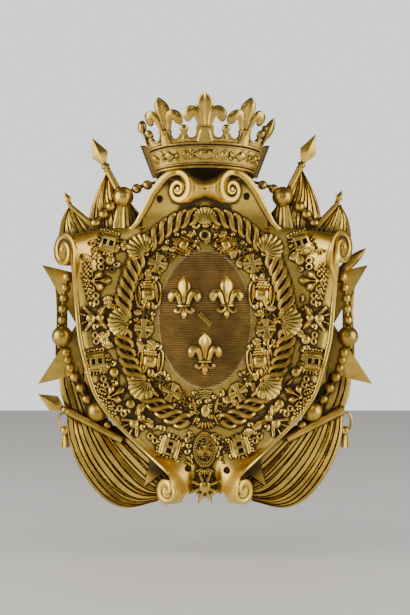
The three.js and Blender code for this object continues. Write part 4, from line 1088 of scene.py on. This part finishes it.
def groundForms():
    pick = random.Random(5)
    yield plate(mirrorHalf(ground["board"]), 0, layers["boardFront"], ground["boardEdge"])
    yield plate(mirrorHalf(ground["cross"]), ground["crossBack"], ground["crossFront"], 3)
    for side in bothSides:
        which = int(side > 0)
        for k, cloth in enumerate(cloths):
            yield clothForm(side, cloth, 20 + k * 3 + which)
        yield from spearForms(spears["inner"][which], spears["wide"], spears["depth"])
        yield from spearForms(spears["outer"][which], spears["narrow"], spears["depth"])
        x, z = tassels["heads"][which]
        yield from tasselForms(x, z, tassels["radius"], tassels["length"], tassels["depth"])
        yield from beadForms(side, pick)
        if side > 0:
            blade = leafForm(100, 26, 12, belly=0.5, grooves=0.3, rows=8, cols=7, root=0.9, foot=-12)
            yield placed(blade, *ground["blade"], turn=ground["bladeTurn"])
        (x, z, depth), (wide, high) = ground["loop"], ground["loopHalf"]
        yield tube([(side * (x + wide * math.cos(a)), z + high * math.sin(a), depth)
                    for a in np.linspace(0.4, 2 * math.pi + 0.4, 21)], ground["loopWire"], sides=7)
        x, *rest = ground["smallTassel"]
        yield from tasselForms(side * x, *rest)
        foot = [(side * x, z) for x, z in ground["footPlate"]]
        yield plate(foot, ground["footPlateBack"], ground["footPlateFront"], 2)
    yield from spearForms(spears["lower"], spears["wide"], spears["lowerDepth"])
    butt = smoothLine([(x, z, spears["lowerDepth"]) for x, z in spears["butt"]], 10)
    yield tube(butt, spears["poleRadius"], sides=16)


# The crown

crown = {
    "foot": (298, 19), "rim": (353, 25), "footRadius": 127, "footLevel": 300, "flare": 0.382,
    "flatten": 0.7, "wall": 12, "front": 60, "returnTop": (366, 379),
    "openings": ((7.2, 15.3), (21.2, 30.3), (41, 52), (57.5, 62)), "openingFoot": 7.5, "rimRadius": 155,
    "mouldings": (("foot", 3, 3.3), ("foot", 9.5, 1.9), ("rim", -3.5, 3.4), ("rim", -11.5, 1.8)),
    "fleurons": ((-35.5, 401, 0.97, 1.18), (0, 406, 1.03, 1.04), (35.5, 401, 0.97, 1.18)),
    "fleuronSunk": -8.5, "stem": [(-6, 21), (4, 19), (14, 16), (24, 13), (34, 12)],
    "pearls": ((-55, 398), (-17.5, 406), (17.5, 406), (55, 398)), "pearlRadius": 10.2, "pearlSunk": -3,
    "endAngle": 69, "endLeaf": (140, 383), "endBead": (-150, 418),
    "endBar": ((-133, 372, 7), (-139, 388, 5.5), (-146, 402, 6), (-150, 412, 7)),
    "endPearls": ((-133, 398, 8.6), (134, 396, 8.6), (143, 414, 7.5)),
    "gems": ((-53, 9.4, 1, 0), (-18, 8, 1, 0.8), (18, 8, 1, 0.8), (53, 9.4, 1, 0)),
    "lozenges": (-35.5, 35.5), "lozenge": ((14, 11, -2), (13, 10, 4), (6, 5, 6.5)),
    "leaves": ((-35.5, 15), (0, 22), (35.5, 15)), "curls": (10.5, 26, 45, 58.5), "almond": (21, 11.5),
    "almondBoss": [(8, -2), (8, 5), (6, 7), (3, 8), (0, 8.2)], "bandAngles": (-88, 88, 105),
    "mouldingAngles": (-61.5, 61.5, 83), "wallAngles": (-63.5, 63.6, 0.5), "wallTop": 20,
    "stands": ((-1, 8, 35), (30, 42, 29)), "wallLap": 4, "wallDeep": 7,
}


def crownLevel(which, degrees):
    return crown[which][0] + crown[which][1] * math.cos(math.radians(degrees))


# A form laid on the flared half round: x runs round it, z is height and depth is out of its face
def bent(form, degrees, height=0.0):
    x, z, d = form[0].T
    z = z + height
    radius = crown["footRadius"] + crown["flare"] * (z - crown["footLevel"])
    angle = math.radians(degrees) + x / radius
    out = (radius + d) * crown["flatten"] * np.cos(angle)
    return np.stack([(radius + d) * np.sin(angle), z, layers["blockBack"] + out], 1), form[1]


# A place on the flared half round
def onCrown(degrees, height, out=0.0):
    return tuple(bent((np.array([[0, height, out]]), []), degrees)[0][0])


# The half ring itself and the pierced wall on it, cut down between the fleurons by round openings
def crownWalls():
    rings = []
    for a in np.linspace(*crown["bandAngles"]):
        low, high = crownLevel("foot", a), crownLevel("rim", a)
        if abs(a) > crown["front"]:
            high = float(np.interp(abs(a), (crown["front"], 90), crown["returnTop"]))
        face = [onCrown(a, low + (high - low) * share) for share in np.linspace(0, 1, 12)]
        rings.append([onCrown(a, low, -crown["wall"]), *face, onCrown(a, high, -crown["wall"])])
    yield loft(rings)
    for which, rise, wire in crown["mouldings"]:
        line = [onCrown(a, crownLevel(which, a) + rise, 0.5) for a in np.linspace(*crown["mouldingAngles"])]
        yield tube(line, wire, sides=9)
    wall = []
    for a in np.arange(*crown["wallAngles"]):
        rim = crownLevel("rim", a)
        stand = [rise for low, high, rise in crown["stands"] if low < abs(a) < high]
        top = rim + (stand[0] if stand else crown["wallTop"])
        for low, high in crown["openings"]:
            share = (abs(a) - (low + high) / 2) / ((high - low) / 2)
            if abs(share) < 1:
                half = math.radians(high - low) / 2 * crown["rimRadius"]
                top = min(top, rim + crown["openingFoot"] + half * (1 - math.sqrt(1 - share ** 2)))
        low, deep = rim - crown["wallLap"], crown["wallDeep"]
        face = [onCrown(a, low + (top - low) * share, 0.5) for share in np.linspace(0, 1, 7)]
        wall.append([onCrown(a, low, -deep), *face, onCrown(a, top, -deep)])
    yield loft(wall)
    for low, high in crown["openings"]:
        middle, half = (low + high) / 2, (high - low) / 2
        reach = math.radians(half) * crown["rimRadius"] + 1
        for side in bothSides:
            line = []
            for turn in np.linspace(-0.42 * math.pi, 0.42 * math.pi, 17):
                a = side * middle + (half + 0.5) * math.sin(turn)
                lift = crown["openingFoot"] + reach * (1 - math.cos(turn)) - 1
                line.append(onCrown(a, crownLevel("rim", a) + lift, 0.5))
            yield tube(line, 2.2, 3.2)


# Lilies, pearls and the carved ends that stand on the rim
def crownTops():
    stem = petalForm(crown["stem"], 7, -7, rows=8, cols=9)
    tall = joinForms(lilyForms(foot=False, thick=0.78, lift=5, stout=1.1))
    for degrees, height, size, wide in crown["fleurons"]:
        rim = crownLevel("rim", degrees)
        yield bent(placed(stem, tall=(height - rim) / 32), degrees, rim)
        yield bent(placed(tall, d=crown["fleuronSunk"], size=size, wide=wide), degrees, height)
    back = onCrown(crown["endAngle"], 400)[2]
    yield placed(bead, *crown["endBead"], back, 10.5, tall=1.5)
    yield tube([(x, z, back) for x, z, _ in crown["endBar"]], [wire for _, _, wire in crown["endBar"]])
    leaf = leafForm(62, 23, 11, belly=0.5, grooves=0.5, rows=10, root=0.4, foot=-7)
    yield placed(leaf, *crown["endLeaf"], back, turn=-0.42)
    for x, z, size in crown["endPearls"]:
        yield placed(bead, x, z, back + 5, size)
    sunk = crown["pearlSunk"]
    stalk = tube([(0, z, sunk) for z in (0, 8, 18, 30)], [8, 4.6, 3.4, 4.2], [5, 4.2, 3.4, 4.2], sides=10)
    for degrees, height in crown["pearls"]:
        yield bent(placed(stalk, tall=0.8), degrees, crownLevel("rim", degrees) + 6)
        yield bent(placed(bead, d=sunk, size=crown["pearlRadius"]), degrees, height)


# The carved band, each motif with the angle at which it lies; it follows the middle of the ring
def bandMotifs():
    socket = ringForm(9, 1.9, 20, 7)
    for degrees, size, depth, socketDepth in crown["gems"]:
        yield placed(bead, d=depth, size=size), degrees
        yield placed(socket, d=socketDepth), degrees
    lozenge = loft([[(-a, 0, d), (0, -b, d), (a, 0, d), (0, b, d)] for a, b, d in crown["lozenge"]])
    for degrees in crown["lozenges"]:
        yield placed(lozenge, size=1.15), degrees
    wide, high = crown["almond"]
    almond = [(wide * math.cos(a) * (1 + 0.12 * abs(math.cos(a)) ** 3), high * math.sin(a))
              for a in fullTurn(28)]
    yield plate(almond, -2, 4, 1.5), 0
    yield placed(spunForm(crown["almondBoss"], 20), wide=1.5), 0
    for degrees, reach in crown["leaves"]:
        for side in bothSides:
            for k in (-1, 0, 1):
                turn = -side * (math.pi / 2 - 0.5 * k)
                yield placed(smallLeaf, side * reach, k * 6, -0.5, 0.6, turn=turn, wide=0.8), degrees
    for k, degrees in enumerate(crown["curls"]):
        hand = 1 if k % 2 else -1
        for side in bothSides:
            yield placed(curls[hand], 1, 8, 0, 0.9, turn=k), side * degrees
            yield placed(curls[-hand], 1, -8, 0, 0.9, turn=-k), side * degrees
            yield placed(fineBall, d=1, size=2.6), side * degrees


def crownForms():
    yield from crownWalls()
    yield from crownTops()
    for form, degrees in bandMotifs():
        yield bent(form, degrees, (crownLevel("foot", degrees) + crownLevel("rim", degrees)) / 2)


# The pieces

def shieldForms():
    yield drilled(sheetForm(), screwHoles)
    yield blockForm()
    yield drilled(spoolForm(), [shield["spoolHole"]])
    for side in bothSides:
        yield edgeStrap(side)
        yield from topVolute(side)
        yield windingBack(side, ears["places"][side > 0], ears)
        yield windingBack(side, feet["place"], feet)


screwHoles = [(x, z, float(sheetDepth(x, z)) + shield["screwDepth"], shield["screwRadius"])
              for x, z in shield["screws"]]
shieldPiece = finishPiece("shield_sheet", shieldForms())
print("shield modelled")
collarForms = [*knotForms(), *chainForms(), *pendantForms(), *innerForms(), *badgeForms()]
collarPiece = finishPiece("collars", collarForms)
liliesPiece = finishPiece("lilies", lilyFieldForms())
ovalPiece = finishPiece("oval_field", [ovalForm()])
groundPiece = finishPiece("arms_ground", groundForms())
crownPiece = finishPiece("gilt_crown", crownForms())
gilded = [shieldPiece, collarPiece, liliesPiece, ovalPiece, groundPiece, crownPiece]

# Painted shade in the hollows and where the gold is rubbed

# A map of depths is read round each place, in 8 directions, at these reaches with these weights
hollows = {
    "step": 0.0015, "left": -0.43, "right": 0.431, "bottom": -0.53, "top": 0.521,
    "reaches": ((1.8, 1), (3.5, 1), (7, 1), (14, 0.7), (28, 0.35)), "ridge": 3.5, "screwLip": 12.5,
    "backDepth": 58,
}


def boxBlur(field, reach):
    for axis in (0, 1):
        padded = np.concatenate([np.repeat(np.take(field, [0], axis), reach + 1, axis), field,
                                 np.repeat(np.take(field, [-1], axis), reach, axis)], axis)
        total = np.cumsum(padded, axis)
        size, count = 2 * reach + 1, field.shape[axis]
        ahead, passed = (np.take(total, range(start, start + count), axis) for start in (size, 0))
        field = (ahead - passed) / size
    return field


def blurTwice(field):
    return boxBlur(boxBlur(field, 2), 2)


# Depth of the whole carving, looked at straight from the front
def depthMap(pieces, columns, levels):
    points, faces = joinForms((vertexValues(mesh, "co"), [face.vertices for face in mesh.polygons])
                              for mesh in (piece.data for piece in pieces))
    tree = BVHTree.FromPolygons(points.tolist(), faces)
    depth = np.zeros((len(levels), len(columns)))
    for i, z in enumerate(levels):
        for k, x in enumerate(columns):
            hit = tree.ray_cast((x, -0.4, z), (0, 1, 0))[0]
            depth[i, k] = -hit[1] * 1000 if hit else 0
    return depth


# Marks how much of the open sky is shut off from each vertex, which the finish paints as shade,
# how far it stands above its surroundings and whether it is at the back
def markHollows(pieces):
    step = hollows["step"]
    columns = np.arange(hollows["left"], hollows["right"], step)
    levels = np.arange(hollows["bottom"], hollows["top"], step)
    depth = depthMap(pieces, columns, levels)
    solid = (depth > 1).astype(float)
    near = blurTwice(depth * solid) / np.maximum(blurTwice(solid), 0.02)
    for piece in pieces:
        own, normals = vertexValues(piece.data, "co"), vertexValues(piece.data, "normal")
        slopes = normals[:, (0, 2)] / np.minimum(normals[:, 1:2], -0.2)

        def read(field, dx=0.0, dz=0.0):
            fx = np.clip((own[:, 0] + dx - columns[0]) / step, 0, len(columns) - 1.001)
            fz = np.clip((own[:, 2] + dz - levels[0]) / step, 0, len(levels) - 1.001)
            ix, iz = fx.astype(int), fz.astype(int)
            fx, fz = fx - ix, fz - iz
            return ((field[iz, ix] * (1 - fx) + field[iz, ix + 1] * fx) * (1 - fz)
                    + (field[iz + 1, ix] * (1 - fx) + field[iz + 1, ix + 1] * fx) * fz)

        height = -own[:, 1] * 1000
        closed, expected = np.zeros(len(own)), np.zeros(len(own))
        for angle in fullTurn(8):
            c, s = math.cos(angle), math.sin(angle)
            expected += np.sin(np.arctan(np.maximum(slopes[:, 0] * c + slopes[:, 1] * s, 0))) / 8
            steepest = np.zeros(len(own))
            for reach, weight in hollows["reaches"]:
                rise = read(depth, reach * c / 1000, reach * s / 1000) - height
                steepest = np.maximum(steepest, weight * rise / reach)
            closed += np.sin(np.arctan(steepest)) / 8
        ridge = np.clip((height - read(near)) / hollows["ridge"], 0, 1)
        # Painted shade: the more sky is shut off beyond what the face's own slope shuts off, the darker the
        # finish paints it
        shade_from_hollows = np.clip((closed - expected) / (1 - 0.6 * expected), 0, 1)
        behind = smooth((normals[:, 1] - 0.25) / 0.4)
        if piece != crownPiece:
            behind *= smooth((hollows["backDepth"] - height) / 8)
        if piece == shieldPiece:
            # On the sheet the painted shade is kept to faces that look forward and to deep hollows
            shade_from_hollows *= np.maximum(smooth((-normals[:, 1] - 0.62) / 0.3), smooth((shade_from_hollows - 0.55) / 0.2))
            # The insides of the screw holes get full painted shade
            for x, z, top, radius in screwHoles:
                inside = np.hypot(own[:, 0] * 1000 - x, own[:, 2] * 1000 - z) < radius + 0.6
                shade_from_hollows[inside & (height < top - hollows["screwLip"])] = 1
        marks = {"shade_from_hollows": shade_from_hollows * (1 - behind), "ridge": ridge * (1 - behind), "behind": behind}
        for name, values in marks.items():
            layer = piece.data.attributes.new(name, "FLOAT", "POINT")
            layer.data.foreach_set("value", values.astype(np.float32))


markHollows(gilded)
print("hollows marked")

# Finishes


def addNode(tree, kind, **settings):
    node = tree.nodes.new(kind)
    for name, value in settings.items():
        setattr(node, name, value)
    return node


# Sets sockets to plain values or links them
def feed(tree, sockets, values):
    for socket, value in zip(sockets, values):
        if isinstance(value, bpy.types.NodeSocket):
            tree.links.new(value, socket)
        else:
            socket.default_value = value


def noiseNode(tree, place, scale, detail=4.0, rough=0.6, stretch=None):
    if stretch:
        mapping = addNode(tree, "ShaderNodeMapping")
        feed(tree, [mapping.inputs["Vector"], mapping.inputs["Scale"]], [place, stretch])
        place = mapping.outputs["Vector"]
    noise = addNode(tree, "ShaderNodeTexNoise")
    names = ("Vector", "Scale", "Detail", "Roughness")
    feed(tree, [noise.inputs[name] for name in names], [place, scale, detail, rough])
    return noise.outputs["Fac"]


def rangeNode(tree, value, low, high, to=(0.0, 1.0)):
    node = addNode(tree, "ShaderNodeMapRange", interpolation_type="SMOOTHSTEP")
    names = ("Value", "From Min", "From Max", "To Min", "To Max")
    feed(tree, [node.inputs[name] for name in names], [value, low, high, *to])
    return node.outputs["Result"]


def mathNode(tree, operation, a, b):
    node = addNode(tree, "ShaderNodeMath", operation=operation)
    feed(tree, node.inputs, (a, b))
    return node.outputs[0]


def mixNode(tree, share, a, b):
    node = addNode(tree, "ShaderNodeMix", data_type="RGBA")
    feed(tree, (node.inputs[0], node.inputs[6], node.inputs[7]), (share, a, b))
    return node.outputs[2]


# Gold leaf on bole with painted shade in the hollows, a dark colour with less metal: colour, roughness, metal
# share and height
def gildingGroup():
    group = bpy.data.node_groups.new("oldGilding", "ShaderNodeTree")
    for name in ("Bright", "Deep", "ShadeColour", "Bole"):
        group.interface.new_socket(name, in_out="INPUT", socket_type="NodeSocketColor")
    for name in ("ShadeStrength", "Rub", "Polish"):
        group.interface.new_socket(name, in_out="INPUT", socket_type="NodeSocketFloat")
    group.interface.new_socket("Color", in_out="OUTPUT", socket_type="NodeSocketColor")
    for name in ("Roughness", "Metallic", "Height"):
        group.interface.new_socket(name, in_out="OUTPUT", socket_type="NodeSocketFloat")
    given, end = addNode(group, "NodeGroupInput").outputs, addNode(group, "NodeGroupOutput").inputs
    place = addNode(group, "ShaderNodeTexCoord").outputs["Object"]
    shade_from_hollows, ridge, behind = (addNode(group, "ShaderNodeAttribute", attribute_name=name).outputs["Fac"]
                             for name in ("shade_from_hollows", "ridge", "behind"))
    plus, less, times, most = (lambda a, b, kind=kind: mathNode(group, kind, a, b)
                               for kind in ("ADD", "SUBTRACT", "MULTIPLY", "MAXIMUM"))
    broad = noiseNode(group, place, 9, 3)
    patch = noiseNode(group, place, 45, 5, 0.65)
    fine = noiseNode(group, place, 260, 4, 0.7)
    strokes = noiseNode(group, place, 60, 3, 0.6, (1.0, 1.0, 7.0))
    grain = noiseNode(group, place, 30, 5, 0.6, (6.0, 1.0, 1.0))
    tint = rangeNode(group, plus(broad, times(patch, 0.5)), 0.55, 0.95)
    leaf = mixNode(group, tint, given["Deep"], given["Bright"])
    worn = times(times(rangeNode(group, patch, 0.6, 0.72), rangeNode(group, ridge, 0.15, 0.7)), given["Rub"])
    leaf = mixNode(group, worn, leaf, given["Bole"])
    # Painted shade from the hollow mark, with some random patchiness, plus fine random specks of dirt: it
    # darkens the leaf towards the shade colour, roughens it and takes away metal
    shade_and_specks = rangeNode(group, times(shade_from_hollows, rangeNode(group, patch, 0.25, 0.75, (0.92, 1.1))), 0.17, 0.42)
    shade_and_specks = most(times(shade_and_specks, given["ShadeStrength"]), times(rangeNode(group, fine, 0.66, 0.74), 0.25))
    grain = rangeNode(group, grain, 0.35, 0.65)
    wood = mixNode(group, grain, (0.10, 0.055, 0.028, 1), (0.20, 0.115, 0.06, 1))
    rough = plus(plus(given["Polish"], times(shade_and_specks, 0.3)), times(less(strokes, 0.5), 0.22))
    feed(group, (end["Color"], end["Metallic"], end["Roughness"], end["Height"]), (
        mixNode(group, behind, mixNode(group, shade_and_specks, leaf, given["ShadeColour"]), wood),
        times(less(1.0, times(most(shade_and_specks, worn), 0.5)), less(1.0, behind)),
        plus(rough, times(behind, 0.3)),
        plus(plus(times(fine, 0.35), times(strokes, 0.5)), times(patch, 0.4))))
    return group


gilding = gildingGroup()


def giltMaterial(name, finish):
    material = bpy.data.materials.new(name)
    material.use_nodes = True
    tree = material.node_tree
    surface = tree.nodes["Principled BSDF"].inputs
    coat = addNode(tree, "ShaderNodeGroup", node_tree=gilding)
    relief = addNode(tree, "ShaderNodeBump")
    feed(tree, coat.inputs, finish)
    feed(tree, [relief.inputs[key] for key in ("Strength", "Distance", "Height")],
         [0.55, 0.0004, coat.outputs["Height"]])
    feed(tree, [surface[key] for key in ("Normal", "Base Color", "Roughness", "Metallic")],
         [relief.outputs["Normal"], *(coat.outputs[key] for key in ("Color", "Roughness", "Metallic"))])
    return material


# Bright and deep leaf, colour of the painted shade, bole; strength of the painted shade, how much rubbed,
# roughness
finishes = {
    "sheet": ((0.92, 0.64, 0.14, 1), (0.62, 0.41, 0.07, 1), (0.028, 0.017, 0.008, 1),
        (0.30, 0.16, 0.05, 1), 0.93, 0.12, 0.36),
    "relief": ((0.92, 0.65, 0.16, 1), (0.58, 0.39, 0.075, 1), (0.018, 0.011, 0.006, 1),
        (0.26, 0.14, 0.05, 1), 1.0, 0.12, 0.3),
    "field": ((0.66, 0.48, 0.21, 1), (0.44, 0.31, 0.13, 1), (0.030, 0.020, 0.012, 1),
        (0.14, 0.08, 0.03, 1), 0.65, 0.2, 0.36),
    "ground": ((0.80, 0.55, 0.12, 1), (0.46, 0.30, 0.055, 1), (0.026, 0.016, 0.008, 1),
        (0.24, 0.13, 0.04, 1), 0.88, 0.2, 0.35),
    "crown": ((0.74, 0.50, 0.12, 1), (0.44, 0.285, 0.052, 1), (0.016, 0.010, 0.006, 1),
        (0.22, 0.12, 0.04, 1), 1.0, 0.1, 0.27),
}
for piece, key, node, slot in (
        (shieldPiece, "sheet", "cartouche", "shield_gilt"),
        (collarPiece, "relief", "cartouche", "shield_gilt"),
        (liliesPiece, "relief", "cartouche", "shield_gilt"),
        (ovalPiece, "field", "cartouche", "shield_gilt"),
        (groundPiece, "ground", "trophy_ground", "ground_gilt"),
        (crownPiece, "crown", "crown", "crown_gilt")):
    piece.data.materials.append(giltMaterial("gilt_" + piece.name, finishes[key]))
    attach(piece, "root")
    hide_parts(node)
print("finishes set")

# Floor, light and camera

bpy.ops.mesh.primitive_plane_add(size=9, location=(0, 0.6, -0.62))
floor = bpy.context.object
floor.name = "floor"
paint = bpy.data.materials.new("pale_floor")
paint.use_nodes = True
surface = paint.node_tree.nodes["Principled BSDF"].inputs
feed(paint.node_tree, (surface["Base Color"], surface["Roughness"]), ((0.84, 0.83, 0.81, 1), 0.8))
floor.data.materials.append(paint)

world = bpy.data.worlds.new("studio")
bpy.context.scene.world = world
world.use_nodes = True
tree = world.node_tree
path = addNode(tree, "ShaderNodeLightPath").outputs
sky = mixNode(tree, path["Is Glossy Ray"], (0.5, 0.49, 0.475, 1), (0.07, 0.066, 0.06, 1))
sky = mixNode(tree, path["Is Camera Ray"], sky, (1.3, 1.3, 1.29, 1))
tree.links.new(sky, tree.nodes["Background"].inputs["Color"])

# Place, size and power
lamps = {
    "left": ((-3.0, -1.3, 0.7), 2.8, 100), "right": ((3.0, -1.3, 0.6), 2.8, 78),
    "front": ((-0.5, -3.4, 1.5), 1.6, 9),
}
for name, (place, size, power) in lamps.items():
    bpy.ops.object.light_add(type="AREA", location=place)
    lamp = bpy.context.object
    lamp.name = name + "_light"
    lamp.data.size = size
    lamp.data.energy = power
    lamp.data.color = (1.0, 0.97, 0.92)
    lamp.rotation_euler = lamp.location.to_track_quat("Z", "Y").to_euler()

bpy.ops.object.camera_add(location=(0, -3.6, -0.013), rotation=(math.pi / 2, 0, 0))
camera = bpy.context.object
camera.data.sensor_fit = "VERTICAL"
camera.data.sensor_height = 36
camera.data.lens = 36 * 3.54 / 1.476  # the picture's height takes in 1.476 m at 3.54 m
bpy.context.scene.camera = camera
bpy.ops.object.select_all(action="DESELECT")

print("scene ready")
